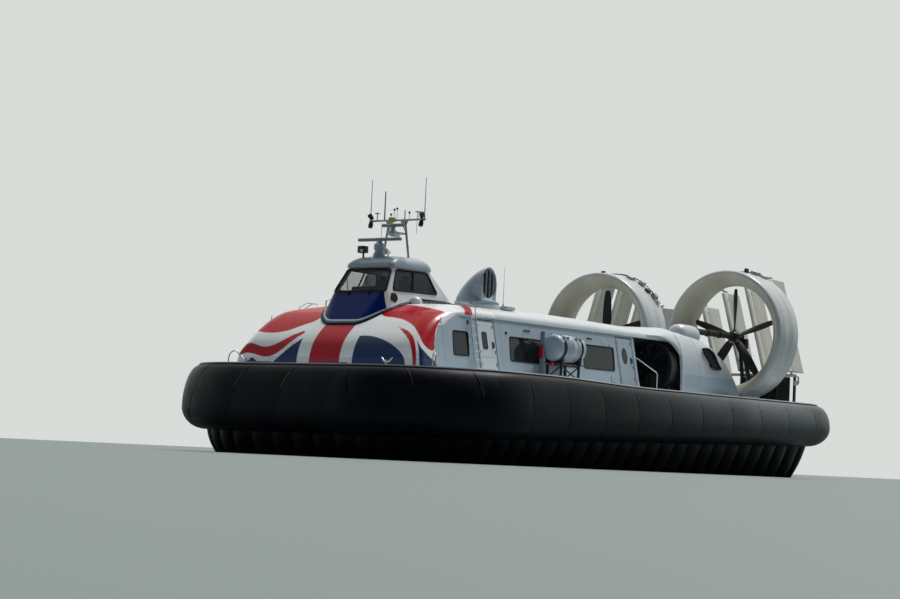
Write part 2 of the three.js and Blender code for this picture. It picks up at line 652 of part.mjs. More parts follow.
// Bow thrusters: hooded elbows that turn on rings on the cabin roof
function elbow(inset, reach) {
  const loops = [];
  for (let step = 0; step <= 6; step++) {
    const turn = Math.PI / 2 * step / 6;
    const radius = THREE.MathUtils.lerp(680, 530, Math.sin(turn)) - inset;
    const ahead = 480 * (1 - Math.cos(turn)) + (step === 6 ? reach : 0);
    const height = 90 + 540 * Math.sin(turn) - (step === 0 ? 90 + reach : 0);
    const loop = [];
    for (let k = 0; k < 24; k++) {
      const angle = Math.PI * 2 * k / 24;
      const [across, along] = [radius * Math.cos(angle), radius * Math.sin(angle)];
      loop.push([ahead + along * Math.cos(turn), across, height - along * Math.sin(turn)]);
    }
    loops.push(loop);
  }
  return skin(loops);
}
for (const [sideName, side] of sides) {
  const hood = cut(elbow(0, 0), elbow(45, 60));
  hood.rotateZ(thruster.mouth).translate(thruster.x, thruster.y, thruster.ringTop + gap);
  add(`bow_thruster_${sideName}`, mirrored(hood, side), finish.white);
}

// Mast with its two turning scanners
const mastX = 6750;
const houseTop = 6300;
const mastBars = [
  rod([mastX, -1130, 7490], [mastX, 1130, 7490], 32, 10),
  box(mastX - 60, 7350, 130, 370, 7040, 7080),
  box(mastX - 30, mastX + 30, -420, 420, 7030, 7080),
  rod([7250, 250, 7060], [7250, 250, 7170], 70, 12),
];
for (const side of [1, -1]) {
  mastBars.push(rod([mastX, side * 520, houseTop + gap], [mastX, side * 320, 7500], 38, 10));
  mastBars.push(rod([mastX, side * 1090, 7470], [mastX, side * 1090, 8800], 14, 6));
}
const roofTopCut = box(6000, 8000, -900, 900, 6100, houseTop + gap);
add('mast', cut(unite(...mastBars), roofTopCut), finish.steel);
const scanners = [ // name, x, y, foot height, drum height, drum radius, bar half length
  ['radar_fore', radarSeat.x, 0, radarSeat.top, 440, 170, 850],
  ['radar_aft', 7250, 250, 7170, 60, 90, 420],
];
for (const [name, x, y, z, drum, radius, half] of scanners) {
  const parts = [rod([x, y, z + gap], [x, y, z + drum], radius, 14),
    box(x - 60, x + 60, y - half, y + half, z + drum - 10, z + drum + 90)];
  add(name, unite(...parts), finish.white);
}

// Liferaft canisters lying in racks on the side decks
const canister = { x0: 1900, x1: 3650, y: 4050, z: 3720, radius: 420 };
for (const [sideName, side] of sides) {
  const { x0, x1, y, z, radius } = canister;
  const rack = [];
  for (const x of [x0 + 250, x1 - 250]) {
    rack.push(cut(box(x - 40, x + 40, y - 350, y + 350, 3200, 3560),
      rod([x - 100, y, z], [x + 100, y, z], radius + gap, 24)));
    for (const across of [-250, 250]) {
      rack.push(box(x - 35, x + 35, y + across - 35, y + across + 35, deckTop + gap, 3250));
    }
  }
  for (const across of [-250, 250]) {
    rack.push(box(x0, x1, y + across - 30, y + across + 30, 3190, 3250));
  }
  add(`liferaft_rack_${sideName}`, mirrored(unite(...rack), side), finish.black);
  const profile = [[0, x0 - 40], [radius * 0.7, x0], [radius, x0 + 110], [radius, x1 - 110],
    [radius * 0.7, x1], [0, x1 + 40]];
  const barrel = new THREE.LatheGeometry(profile.map(([r, x]) => new THREE.Vector2(r, x)), 24);
  barrel.rotateZ(-Math.PI / 2).translate(0, y, z);
  add(`liferaft_${sideName}`, mirrored(barrel, side), finish.raft);
}

// Export
export default whole;
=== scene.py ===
import json
import math

import bmesh
import bpy
from mathutils import Matrix, Vector
from mathutils.bvhtree import BVHTree

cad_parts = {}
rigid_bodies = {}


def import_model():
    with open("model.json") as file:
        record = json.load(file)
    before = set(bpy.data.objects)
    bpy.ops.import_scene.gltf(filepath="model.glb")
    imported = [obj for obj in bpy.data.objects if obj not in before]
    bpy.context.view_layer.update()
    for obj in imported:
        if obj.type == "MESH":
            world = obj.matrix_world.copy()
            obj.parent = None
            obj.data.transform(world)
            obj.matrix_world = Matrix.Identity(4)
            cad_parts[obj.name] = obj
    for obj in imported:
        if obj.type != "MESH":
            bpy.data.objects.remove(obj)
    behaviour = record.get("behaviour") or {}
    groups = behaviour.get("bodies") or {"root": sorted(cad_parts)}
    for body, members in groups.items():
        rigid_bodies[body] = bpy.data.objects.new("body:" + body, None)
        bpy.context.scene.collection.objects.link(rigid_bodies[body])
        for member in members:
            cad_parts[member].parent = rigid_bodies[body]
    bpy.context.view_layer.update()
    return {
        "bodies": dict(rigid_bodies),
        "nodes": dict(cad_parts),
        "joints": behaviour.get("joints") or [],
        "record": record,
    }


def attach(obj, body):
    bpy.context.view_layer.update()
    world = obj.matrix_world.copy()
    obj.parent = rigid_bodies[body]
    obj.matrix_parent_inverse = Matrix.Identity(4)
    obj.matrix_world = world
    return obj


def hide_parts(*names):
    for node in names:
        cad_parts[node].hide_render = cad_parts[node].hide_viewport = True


# Passenger hovercraft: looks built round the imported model. Metres, +X bow, +Y port, +Z up.
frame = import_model()
nodes = frame["nodes"]
sides = (("port", 1), ("starboard", -1))
upward, forward = Vector((0, 0, 1)), Vector((1, 0, 0))
print("frame loaded:", len(nodes), "nodes")

# Camera, fitted to the photograph in its own pixels
camera = {"azimuth": 36.2, "distance": 75.0, "height": 0.15, "aimHeight": 2.5, "roll": 2.5,
          "focal": 2233.0, "aimAt": (517.3, 390.5), "size": (900, 599), "sensor": 36.0, "far": 500}


def placed(name, data):  # a new object in the scene
    made = bpy.data.objects.new(name, data)
    bpy.context.scene.collection.objects.link(made)
    return made


def makeCamera():
    turn, roll = math.radians(camera["azimuth"]), math.radians(camera["roll"])
    away = Vector((math.cos(turn), math.sin(turn), 0))
    place = away * camera["distance"] + upward * camera["height"]
    ahead = (upward * camera["aimHeight"] - place).normalized()
    level = ahead.cross(upward).normalized()
    high = level.cross(ahead)
    right = level * math.cos(roll) + high * math.sin(roll)
    up = high * math.cos(roll) - level * math.sin(roll)
    offX = (camera["size"][0] / 2 - camera["aimAt"][0]) / camera["focal"]
    offY = (camera["size"][1] / 2 - camera["aimAt"][1]) / camera["focal"]
    back = -(ahead + right * offX - up * offY).normalized()
    right = (right - back * right.dot(back)).normalized()
    up = back.cross(right)
    data = bpy.data.cameras.new("camera")
    data.sensor_width = camera["sensor"]
    data.lens = camera["focal"] * camera["sensor"] / camera["size"][0]
    data.clip_end = camera["far"]
    eye = placed("camera", data)
    eye.matrix_world = Matrix.Translation(place) @ Matrix((right, up, back)).transposed().to_4x4()
    bpy.context.scene.camera = eye


makeCamera()


# Shader sockets that Python operators can work on
class Sock:
    def __init__(self, paint, socket):
        self.paint, self.socket = paint, socket

    def join(self, other, kind, swap=False):
        first, second = (other, self) if swap else (self, other)
        return self.paint.node("ShaderNodeMath", {"operation": kind}, {0: first, 1: second})

    def __add__(self, other):
        return self.join(other, "ADD")

    def __sub__(self, other):
        return self.join(other, "SUBTRACT")

    def __rsub__(self, other):
        return self.join(other, "SUBTRACT", True)

    def __mul__(self, other):
        return self.join(other, "MULTIPLY")

    __radd__, __rmul__ = __add__, __mul__

    def high(self, other):
        return self.join(other, "MAXIMUM")

    def size(self):
        return self.paint.node("ShaderNodeMath", {"operation": "ABSOLUTE"}, {0: self})

    def wrap(self, length):  # distance to the nearest multiple of length
        return self.paint.node("ShaderNodeMath", {"operation": "PINGPONG"}, {0: self, 1: length / 2})

    def step(self, low, high):  # 0 below low, 1 above high, smooth between
        return self.paint.node("ShaderNodeMapRange", {"interpolation_type": "SMOOTHSTEP"},
                               {"Value": self, "From Min": low, "From Max": high})


class Paint:
    def __init__(self, name, color, roughness=0.5, metallic=0.0, **fixed):
        self.material = bpy.data.materials.new(name)
        self.material.use_nodes = True
        self.material.diffuse_color = (*color, 1)
        self.tree = self.material.node_tree
        self.shader = self.tree.nodes["Principled BSDF"]
        self.set("Base Color", (*color, 1))
        self.set("Roughness", roughness)
        self.set("Metallic", metallic)
        for socket, value in fixed.items():
            self.set(socket.replace("_", " "), value)
        self.place = self.node("ShaderNodeTexCoord", output="Object")
        self.x, self.y, self.z = [self.node("ShaderNodeSeparateXYZ", None, {0: self.place}, axis)
                                  for axis in ("X", "Y", "Z")]

    def feed(self, socket, value):
        if isinstance(value, Sock):
            self.tree.links.new(value.socket, socket)
        else:
            socket.default_value = value

    def set(self, socket, value):
        self.feed(self.shader.inputs[socket], value)

    def node(self, kind, settings=None, values=None, output=0):
        made = self.tree.nodes.new(kind)
        for name, value in (settings or {}).items():
            setattr(made, name, value)
        for socket, value in (values or {}).items():
            self.feed(made.inputs[socket], value)
        return Sock(self, made.outputs[output])

    def noise(self, scale, detail=3.0, stretch=(1, 1, 1)):
        place = self.node("ShaderNodeMapping", None, {"Vector": self.place, "Scale": stretch})
        return self.node("ShaderNodeTexNoise", None, {"Vector": place, "Scale": scale, "Detail": detail})

    def mix(self, factor, first, second):
        made = self.tree.nodes.new("ShaderNodeMix")
        made.data_type = "RGBA"
        shades = [shade if isinstance(shade, Sock) else (*shade, 1) for shade in (first, second)]
        for socket, value in zip((0, 6, 7), (factor, *shades)):
            self.feed(made.inputs[socket], value)
        return Sock(self, made.outputs[2])

    def bump(self, height, distance, strength):
        values = {"Height": height, "Distance": distance, "Strength": strength}
        self.set("Normal", self.node("ShaderNodeBump", None, values, "Normal"))

    def attribute(self, name):
        return self.node("ShaderNodeAttribute", {"attribute_name": name}, None, "Fac")


def shade(color, amount):
    return tuple(min(1, part * amount) for part in color)


# Colours and grime, one entry for each finish
tones = {
    # white is the white paint made darker and bluer as painted shade, noseWhite the same paint left bright,
    # and shadow a still darker copy, painted shade on the hoods and wheelhouse top
    "white": (0.66, 0.70, 0.73), "noseWhite": (0.84, 0.845, 0.855), "shadow": (0.34, 0.41, 0.47),
    # side is the pale blue-grey side paint, made darker and bluer still as painted shade on the side walls
    "side": (0.36, 0.45, 0.53), "red": (0.47, 0.002, 0.012),
    "blue": (0.004, 0.026, 0.10), "panelBlue": (0.0, 0.018, 0.135), "skirt": (0.0022, 0.0032, 0.0065),
    "deck": (0.62, 0.66, 0.69), "hull": (0.10, 0.11, 0.12), "cream": (0.66, 0.62, 0.50),
    "ductOut": (0.58, 0.61, 0.62), "black": (0.012, 0.013, 0.015), "rubber": (0.010, 0.010, 0.012),
    "steel": (0.42, 0.44, 0.46), "raft": (0.38, 0.46, 0.55), "cloth": (0.03, 0.05, 0.13),
    "rudder": (0.56, 0.57, 0.52), "floor": (0.165, 0.205, 0.205),
}


def glossPaint(name, color, dirt=0.25, roughness=0.32, band=None):
    # Sprayed paint: orange-peel and faint streaks that run down. A band gives the sides' colour
    # to what lies aft of its first value and below its second, and fades it out up to the third as painted
    # shade
    paint = Paint(name, color, roughness, Coat_Weight=0.12, Coat_Roughness=0.1, Specular_IOR_Level=0.35)
    streaks = paint.noise(1.6, 4, (1.6, 1.6, 0.25)).step(0.45, 0.75)
    specks = paint.noise(9.0, 4).step(0.45, 0.8)
    tone = paint.mix(streaks * (dirt * 0.5) + specks * (dirt * 0.25), color, shade(color, 0.72))
    if band:
        aft = (band[0] - paint.x).step(-0.004, 0.004)
        low = (band[1] - paint.z).step(-0.004, 0.004).high((band[2] - paint.z).step(0.0, 1.0) * 0.6)
        tone = paint.mix(aft * low, tone, tones["side"])
    paint.set("Base Color", tone)
    paint.set("Roughness", specks * 0.12 + streaks * 0.1 + roughness)
    height = paint.noise(60.0, 2) * 0.4 + streaks * 0.3
    paint.bump(height, 0.0015, 0.35)
    return paint


def rubberPaint(name, color, saltAndSheenShare=0.0):
    # Coated rubber sheet: cloudy sheen, fine weave, and dried salt that thickens aft and on what faces up;
    # that pale grey is partly painted reflection, standing in for the lit spray haze and sky sheen on the aft
    # and upper bag
    paint = Paint(name, color, 0.5, Specular_IOR_Level=0.12)
    cloud = paint.noise(0.55, 5, (1, 1, 1.8)).step(0.35, 0.7)
    dust = paint.noise(6.0, 6, (1, 1, 0.3)).step(0.5, 0.85)
    tone = paint.mix(cloud * 0.45, color, shade(color, 2.3))
    saltAndSheen = (4.0 - paint.x).step(0.0, 13.0) * (paint.z - 0.7).step(0.0, 1.9) * (cloud * 0.5 + 0.7) * saltAndSheenShare
    paint.set("Base Color", paint.mix(dust * 0.06 + saltAndSheen, tone, (0.152, 0.167, 0.176)))
    paint.set("Roughness", 0.36 + cloud * 0.16 + dust * 0.14)
    weave = paint.noise(160.0, 1) * 0.3 + paint.noise(3.2, 4) * 1.2
    paint.bump(weave, 0.006, 0.5)
    return paint


def metalPaint(name, color, roughness, metallic=1.0):
    paint = Paint(name, color, roughness, metallic)
    wear = paint.noise(14.0, 5).step(0.4, 0.75)
    paint.set("Base Color", paint.mix(wear * 0.5, color, shade(color, 0.6)))
    paint.set("Roughness", wear * 0.2 + roughness)
    paint.bump(paint.noise(90.0, 2), 0.001, 0.3)
    return paint


def glassPaint(name, color, alpha):
    paint = Paint(name, color, 0.04, IOR=1.5)
    smear = paint.noise(5.0, 4).step(0.45, 0.8)
    paint.set("Roughness", smear * 0.08 + 0.03)
    paint.set("Alpha", smear * 0.06 + alpha)
    paint.set("Base Color", paint.mix(smear * 0.5, color, shade(color, 1.6)))
    return paint


def clothPaint(name, color):
    paint = Paint(name, color, 0.85, Sheen_Weight=0.3)
    weave = paint.noise(240.0, 2) * 0.6 + paint.noise(12.0, 3) * 0.4
    paint.set("Base Color", paint.mix(weave.step(0.3, 0.7), shade(color, 0.7), shade(color, 1.3)))
    paint.bump(weave, 0.002, 0.6)
    return paint


paints = {
    # White paint, darkened as painted shade; on the cowls the band gives the side colour low down and a
    # painted-shade fade above it
    "white": glossPaint("white paint with painted shade", tones["white"], 0.22, band=(-4.36, 3.36, 4.35)),
    # Side paint: pale blue-grey, darkened as painted shade on the side walls
    "side": glossPaint("side paint with painted shade", tones["side"], 0.30),
    "red": glossPaint("red paint", tones["red"], 0.2),
    "panelBlue": glossPaint("blue panel paint", tones["panelBlue"], 0.2, roughness=0.24),
    "ductOut": glossPaint("duct outside paint", tones["ductOut"], 0.5),
    "raft": glossPaint("liferaft shell", tones["raft"], 0.5),
    "hull": glossPaint("hull paint", tones["hull"], 0.8, roughness=0.55),
    "skirt": rubberPaint("skirt rubber", tones["skirt"], 1.0),
    "finger": rubberPaint("finger rubber", shade(tones["skirt"], 0.8), 0.3),
    "rubber": rubberPaint("seal rubber", tones["rubber"]),
    "black": metalPaint("black satin paint", tones["black"], 0.38, 0.0),
    "steel": metalPaint("dull aluminium", tones["steel"], 0.34),
    "chrome": metalPaint("polished steel", (0.75, 0.77, 0.78), 0.12),
    "darkGlass": glassPaint("dark tinted glass", (0.012, 0.016, 0.02), 0.90),
    "clearGlass": glassPaint("clear glass", (0.05, 0.07, 0.08), 0.20),
    "cloth": clothPaint("seat cloth", tones["cloth"]),
    "yellow": glossPaint("yellow paint", (0.62, 0.42, 0.05), 0.3),
    "lamp": glassPaint("lamp glass", (0.6, 0.62, 0.6), 0.8),
    "leaf": glossPaint("door paint", (0.60, 0.66, 0.71), 0.2),
    # Hood paint: the white paint darkened as painted shade, on the thruster hoods and the wheelhouse top
    "shadow": glossPaint("hood paint in painted shade", tones["shadow"], 0.2),
    "scanner": glossPaint("scanner paint", (0.20, 0.25, 0.30), 0.1),
    # Rudder leading edges: pale paint, made brighter as painted light of the sun on the vanes
    "bright": glossPaint("rudder edge paint with painted light", (0.90, 0.90, 0.86), 0.1),
}


def creamPaint():
    # Inside of the ducts: cream paint browned by exhaust, darker to the back and low down
    paint = Paint("duct inside paint", tones["cream"], 0.42, Coat_Weight=0.2, Coat_Roughness=0.2)
    soot = paint.noise(0.9, 5, (0.6, 1, 1)).step(0.32, 0.75)
    spots = paint.noise(7.0, 5).step(0.55, 0.8)
    low = (4.6 - paint.z).step(0.0, 2.6)
    tone = paint.mix(soot * 0.40 + low * 0.25 + spots * 0.12, tones["cream"], (0.27, 0.25, 0.20))
    paint.set("Base Color", tone)
    paint.set("Roughness", soot * 0.2 + 0.36)
    paint.bump(paint.noise(30.0, 3), 0.003, 0.35)
    return paint


def rudderPaint():
    # Rudder skins: off-white, a little soot, rib lines pressed through
    paint = Paint("rudder paint", tones["rudder"], 0.45)
    soot = paint.noise(1.4, 4, (1, 1, 0.4)).step(0.4, 0.75)
    rib = paint.z.wrap(0.62).step(0.006, 0.02)
    paint.set("Base Color", paint.mix(soot * 0.35, tones["rudder"], (0.30, 0.29, 0.25)))
    paint.bump(rib + paint.noise(40.0, 2) * 0.2, 0.004, 0.5)
    return paint


def deckPaint():
    # Non-slip deck: gritty grey with scuffed patches
    paint = Paint("deck paint", tones["deck"], 0.7)
    scuff = paint.noise(1.2, 5).step(0.4, 0.75)
    paint.set("Base Color", paint.mix(scuff * 0.5, tones["deck"], shade(tones["deck"], 0.6)))
    paint.set("Roughness", scuff * 0.15 + 0.62)
    paint.bump(paint.noise(140.0, 3), 0.003, 0.7)
    return paint


def streakedWhite(paint):
    streaks = paint.noise(1.6, 4, (1.6, 1.6, 0.3)).step(0.45, 0.75)
    paint.set("Roughness", streaks * 0.1 + 0.26)
    return paint.mix(streaks * 0.14, tones["noseWhite"], shade(tones["noseWhite"], 0.75))


def liveryPaint():
    # Nose: red and blue fields on white, from distances stored on the mesh, and a red band on the centre line
    paint = Paint("nose pattern paint", tones["noseWhite"], 0.3, Coat_Weight=0.1, Coat_Roughness=0.08,
                  Specular_IOR_Level=0.2)
    edge = (-0.012, 0.012)
    across = paint.y.size()
    band = (0.60 - across).step(*edge)
    clear = (across - 1.10).step(*edge)
    slant = paint.x - across
    stripe = (slant - 3.70).step(*edge) * (4.06 - slant).step(*edge)
    stripe = stripe * (across - 2.35).step(*edge) * (paint.z - 4.46).step(*edge)
    red = (paint.attribute("redField").step(*edge) * clear).high(stripe)
    blue = paint.attribute("blueField").step(*edge) * clear
    white = streakedWhite(paint)
    tone = paint.mix(blue, paint.mix(red.high(band), white, tones["red"]), tones["blue"])
    # Painted shade: the nose below 3.0 is darkened towards dark blue
    foot = (3.0 - paint.z).step(-0.004, 0.004) * 0.22
    tone = paint.mix(foot, tone, (0.06, 0.10, 0.20))
    # Aft of the front corners and below 4.05 the nose takes the side walls' colour, with its painted shade
    corner = 9.10 - (paint.z - 3.5).high(0.0) * 0.55
    plain = (corner - paint.x).step(-0.004, 0.004) * (4.05 - paint.z).step(-0.004, 0.004)
    paint.set("Base Color", paint.mix(plain, tone, tones["side"]))
    paint.bump(paint.noise(60.0, 2) * 0.4 + paint.z.wrap(6.0).step(0.004, 0.012), 0.002, 0.35)
    return paint


def housePaint():
    # White wheelhouse with a blue panel below the windscreen, between the two front corners
    paint = Paint("wheelhouse paint", tones["noseWhite"], 0.3, Coat_Weight=0.04, Coat_Roughness=0.08,
                  Specular_IOR_Level=0.1)
    reach = (5.08 - paint.z) * 0.38 + 1.0
    front = (paint.x - 7.9).step(0.0, 0.02)
    panel = (reach - paint.y.size()).step(-0.006, 0.006) * (5.085 - paint.z).step(-0.004, 0.004) * front
    paint.set("Base Color", paint.mix(panel, streakedWhite(paint), tones["panelBlue"]))
    paint.bump(paint.noise(60.0, 2), 0.0015, 0.3)
    return paint


paints.update(house=housePaint(), cream=creamPaint(), rudder=rudderPaint(), deck=deckPaint(),
              livery=liveryPaint())
print("paints made:", len(paints))


def angles(count):  # evenly spaced, once round
    return [math.tau * k / count for k in range(count)]


def faceOutward(mesh, weld=False):
    form = bmesh.new()
    form.from_mesh(mesh)
    if weld:
        bmesh.ops.remove_doubles(form, verts=form.verts, dist=1e-5)
    bmesh.ops.recalc_face_normals(form, faces=form.faces)
    form.to_mesh(mesh)
    form.free()


def smoothFaces(mesh, sharp):
    mesh.shade_smooth()
    mesh.set_sharp_from_angle(angle=math.radians(sharp))


# Shapes gather closed forms into one mesh
class Shape:
    def __init__(self):
        self.points, self.faces, self.kinds = [], [], []

    def add(self, points, faces, paint="white"):
        start = len(self.points)
        self.points += [tuple(point) for point in points]
        self.faces += [tuple(start + i for i in face) for face in faces]
        self.kinds += [paint] * len(faces)

    def box(self, low, high, paint, edge, move=None):
        low, high = Vector(map(min, low, high)), Vector(map(max, low, high))
        form = bmesh.new()
        bmesh.ops.create_cube(form, size=1)
        bmesh.ops.scale(form, vec=high - low, verts=form.verts)
        bmesh.ops.bevel(form, geom=form.edges[:], offset=edge, segments=2, profile=0.6, affect="EDGES")
        middle = (low + high) / 2
        self.addForm(form, lambda at: move(at + middle) if move else at + middle, paint)

    def addForm(self, form, move, paint):
        form.verts.index_update()
        faces = [[vert.index for vert in face.verts] for face in form.faces]
        self.add([move(vert.co) for vert in form.verts], faces, paint)
        form.free()

    def loft(self, loops, paint="white", ring=False):
        count = len(loops[0])
        points = [point for loop in loops for point in loop]
        faces = []
        for i in range(len(loops) if ring else len(loops) - 1):
            a, b = i * count, ((i + 1) % len(loops)) * count
            faces += [(a + j, a + (j + 1) % count, b + (j + 1) % count, b + j) for j in range(count)]
        if not ring:
            faces += [tuple(reversed(range(count))), tuple(range((len(loops) - 1) * count, len(points)))]
        self.add(points, faces, paint)

    def tube(self, path, radius, sides=8, paint="steel", ring=False):
        path = [Vector(point) for point in path]
        loops = []
        for i, at in enumerate(path):
            before = path[i - 1] if i or ring else at
            after = path[(i + 1) % len(path)] if i + 1 < len(path) or ring else at
            along = (after - before).normalized()
            side = along.cross(upward if abs(along.z) < 0.95 else forward).normalized()
            if loops and side.dot(lastSide) < 0:
                side = -side
            lastSide = side
            rise = side.cross(along)
            width = radius[i] if isinstance(radius, (list, tuple)) else radius
            loops.append([at + (side * math.cos(turn) + rise * math.sin(turn)) * width
                          for turn in angles(sides)])
        self.loft(loops, paint, ring)

    def rod(self, start, end, radius, sides=12, paint="steel", endRadius=None):
        self.tube([start, end], [radius, radius if endRadius is None else endRadius], sides, paint)

    def lathe(self, profile, at, axis, steps=32, paint="white", ring=False):
        # profile holds (along, radius); the first and last points close on the axis unless it is a ring
        at, axis = Vector(at), Vector(axis).normalized()
        side = axis.cross(upward if abs(axis.z) < 0.9 else forward).normalized()
        other = axis.cross(side)
        kinds = paint if isinstance(paint, (list, tuple)) else [paint] * len(profile)
        count = len(profile)
        start = len(self.points)
        for turn in angles(steps):
            out = side * math.cos(turn) + other * math.sin(turn)
            self.points += [tuple(at + axis * along + out * max(radius, 1e-4)) for along, radius in profile]
        for i in range(steps):
            a, b = start + i * count, start + ((i + 1) % steps) * count
            for j in range(count if ring else count - 1):
                k = (j + 1) % count
                self.faces.append((a + j, a + k, b + k, b + j))
                self.kinds.append(kinds[j])

    def ball(self, at, radii, paint, steps, rings):
        form = bmesh.new()
        bmesh.ops.create_uvsphere(form, u_segments=steps, v_segments=rings, radius=1)
        self.addForm(form, lambda point: Vector(at) + point * Vector(radii), paint)

    def flip(self):  # the same shape on the other side of the craft
        other = Shape()
        other.points = [(x, -y, z) for x, y, z in self.points]
        other.faces = [tuple(reversed(face)) for face in self.faces]
        other.kinds = list(self.kinds)
        return other

    def piece(self, name, body="hull", slot=None, replaces=(), sharp=38):
        used = sorted(set(self.kinds))
        mesh = bpy.data.meshes.new(name)
        mesh.from_pydata(self.points, [], self.faces)
        for kind in used:
            mesh.materials.append(paints[kind].material)
        mesh.polygons.foreach_set("material_index", [used.index(kind) for kind in self.kinds])
        faceOutward(mesh, weld=True)
        smoothFaces(mesh, sharp)
        return settle(bpy.data.objects.new(name, mesh), body, replaces)


def settle(piece, body="hull", replaces=()):
    if piece.name not in bpy.context.scene.collection.objects:
        bpy.context.scene.collection.objects.link(piece)
    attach(piece, body)
    if replaces:
        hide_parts(*replaces)
    return piece


def bothSides(shape, name, body=None, slot=None, replaces=()):
    for sideName, side in sides:
        made = shape if side > 0 else shape.flip()
        made.piece(f"{name}_{sideName}", f"{body}_{sideName}" if body else "hull", slot,
                   [f"{node}_{sideName}" for node in replaces])


def lookUp(rows, at, column=1):  # smooth reading of a table whose first column rises
    rows = sorted(rows)
    at = min(max(at, rows[0][0]), rows[-1][0])
    i = max(k for k in range(len(rows) - 1) if rows[k][0] <= at)
    x0, y0 = rows[i][0], rows[i][column]
    x1, y1 = rows[i + 1][0], rows[i + 1][column]
    before = rows[i - 1] if i else rows[i]
    after = rows[i + 2] if i + 2 < len(rows) else rows[i + 1]
    slope0 = (y1 - before[column]) / (x1 - before[0])
    slope1 = (after[column] - y0) / (after[0] - x0)
    t, span = (at - x0) / (x1 - x0), x1 - x0
    return ((2 * t ** 3 - 3 * t ** 2 + 1) * y0 + (t ** 3 - 2 * t ** 2 + t) * span * slope0
            + (3 * t ** 2 - 2 * t ** 3) * y1 + (t ** 3 - t ** 2) * span * slope1)


# Geometry Nodes: copies of a small form along a line of points, at one pitch
def alongTree(name):
    tree = bpy.data.node_groups.new(name, "GeometryNodeTree")
    face = tree.interface
    face.new_socket("Geometry", in_out="INPUT", socket_type="NodeSocketGeometry")
    for label, kind, value in (("Pitch", "NodeSocketFloat", 0.3), ("Form", "NodeSocketObject", None),
                               ("Finish", "NodeSocketMaterial", None)):
        made = face.new_socket(label, in_out="INPUT", socket_type=kind)
        if value is not None:
            made.default_value = value
    face.new_socket("Geometry", in_out="OUTPUT", socket_type="NodeSocketGeometry")
    add, link = tree.nodes.new, tree.links.new
    given, result = add("NodeGroupInput"), add("NodeGroupOutput")
    curve, sample, info, copies, real, finish = [add("GeometryNode" + kind) for kind in (
        "MeshToCurve", "CurveToPoints", "ObjectInfo", "InstanceOnPoints", "RealizeInstances", "SetMaterial")]
    sample.mode = "LENGTH"
    link(given.outputs["Geometry"], curve.inputs[0])
    link(curve.outputs[0], sample.inputs["Curve"])
    link(given.outputs["Pitch"], sample.inputs["Length"])
    link(given.outputs["Form"], info.inputs["Object"])
    link(sample.outputs["Points"], copies.inputs["Points"])
    link(info.outputs["Geometry"], copies.inputs["Instance"])
    link(sample.outputs["Rotation"], copies.inputs["Rotation"])
    link(copies.outputs[0], real.inputs[0])
    link(real.outputs[0], finish.inputs["Geometry"])
    link(given.outputs["Finish"], finish.inputs["Material"])
    link(finish.outputs[0], result.inputs[0])
    return tree


copyAlong = alongTree("copies along a line")


def copyForms(name, paths, pitch, form, paint):
    # paths are lists of points; form is a Shape whose +Z lies along the line
    mesh = bpy.data.meshes.new(name + "_line")
    points, edges = [], []
    for path in paths:
        edges += [(len(points) + i, len(points) + i + 1) for i in range(len(path) - 1)]
        points += [tuple(point) for point in path]
    mesh.from_pydata(points, edges, [])
    line = placed(name + "_line", mesh)
    small = bpy.data.meshes.new(name + "_form")
    small.from_pydata(form.points, [], form.faces)
    smoothFaces(small, 38)
    one = bpy.data.objects.new(name + "_form", small)
    modifier = line.modifiers.new("copies", "NODES")
    modifier.node_group = copyAlong
    sockets = {item.name: item.identifier for item in copyAlong.interface.items_tree
               if item.in_out == "INPUT"}
    for label, value in (("Pitch", pitch), ("Form", one), ("Finish", paints[paint].material)):
        modifier[sockets[label]] = value
    bpy.context.view_layer.update()
    result = bpy.data.meshes.new_from_object(line.evaluated_get(bpy.context.evaluated_depsgraph_get()))
    result.name = name
    bpy.data.objects.remove(line)
    bpy.data.objects.remove(one)
    return settle(bpy.data.objects.new(name, result))


# Driving sizes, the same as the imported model's
craft = {"halfLength": 11.31, "halfBeam": 5.81, "sternCorner": 1.8, "deckTop": 2.62, "hullSide": 0.4,
         "wallFoot": 3.74, "wallCant": math.radians(12), "eave": 4.45, "roofPower": 2.6, "noseAft": 5.9,
         "gap": 0.0003, "skin": 0.03}
deckFace = 2.6203  # where pieces start that stand on the deck
roofRise = [(5.9, 0.47), (4.6, 0.50), (1.4, 0.55), (-2.1, 0.49), (-4.3, 0.44)]
noseLevels = [  # height, front x, x where the corner starts, reach of the corner across
    (2.62, 9.92, 9.70, 0.22), (2.97, 9.90, 9.68, 0.22), (3.18, 9.85, 9.60, 0.25), (3.45, 9.74, 9.30, 0.44),
    (3.70, 9.55, 9.05, 0.50), (3.95, 9.29, 8.78, 0.51), (4.22, 8.97, 8.39, 0.58), (4.45, 8.62, 7.88, 0.74),
    (4.54, 8.40, 7.48, 0.92), (4.66, 8.05, 6.65, 1.40), (4.78, 7.55, 6.05, 1.56), (4.86, 6.90, 5.93, 1.60),
    (4.91, 6.25, 5.91, 1.60),
]
wallEnd = [(2.0, 9.0), (3.70, 9.0), (3.95, 8.72), (4.22, 8.30), (4.4501, 7.80)]  # height, x


def noseBack(z):  # the nose begins where the side wall ends, and above the eave where the roof ends
    if z > craft["eave"]:
        return craft["noseAft"]
    i = max(k for k in range(len(wallEnd) - 1) if wallEnd[k][0] <= z)
    (z0, x0), (z1, x1) = wallEnd[i:i + 2]
    return x0 + (x1 - x0) * (z - z0) / (z1 - z0)


def wallHalf(z):
    return craft["wallFoot"] - (z - craft["deckTop"]) * math.tan(craft["wallCant"])


eaveHalf = wallHalf(craft["eave"])


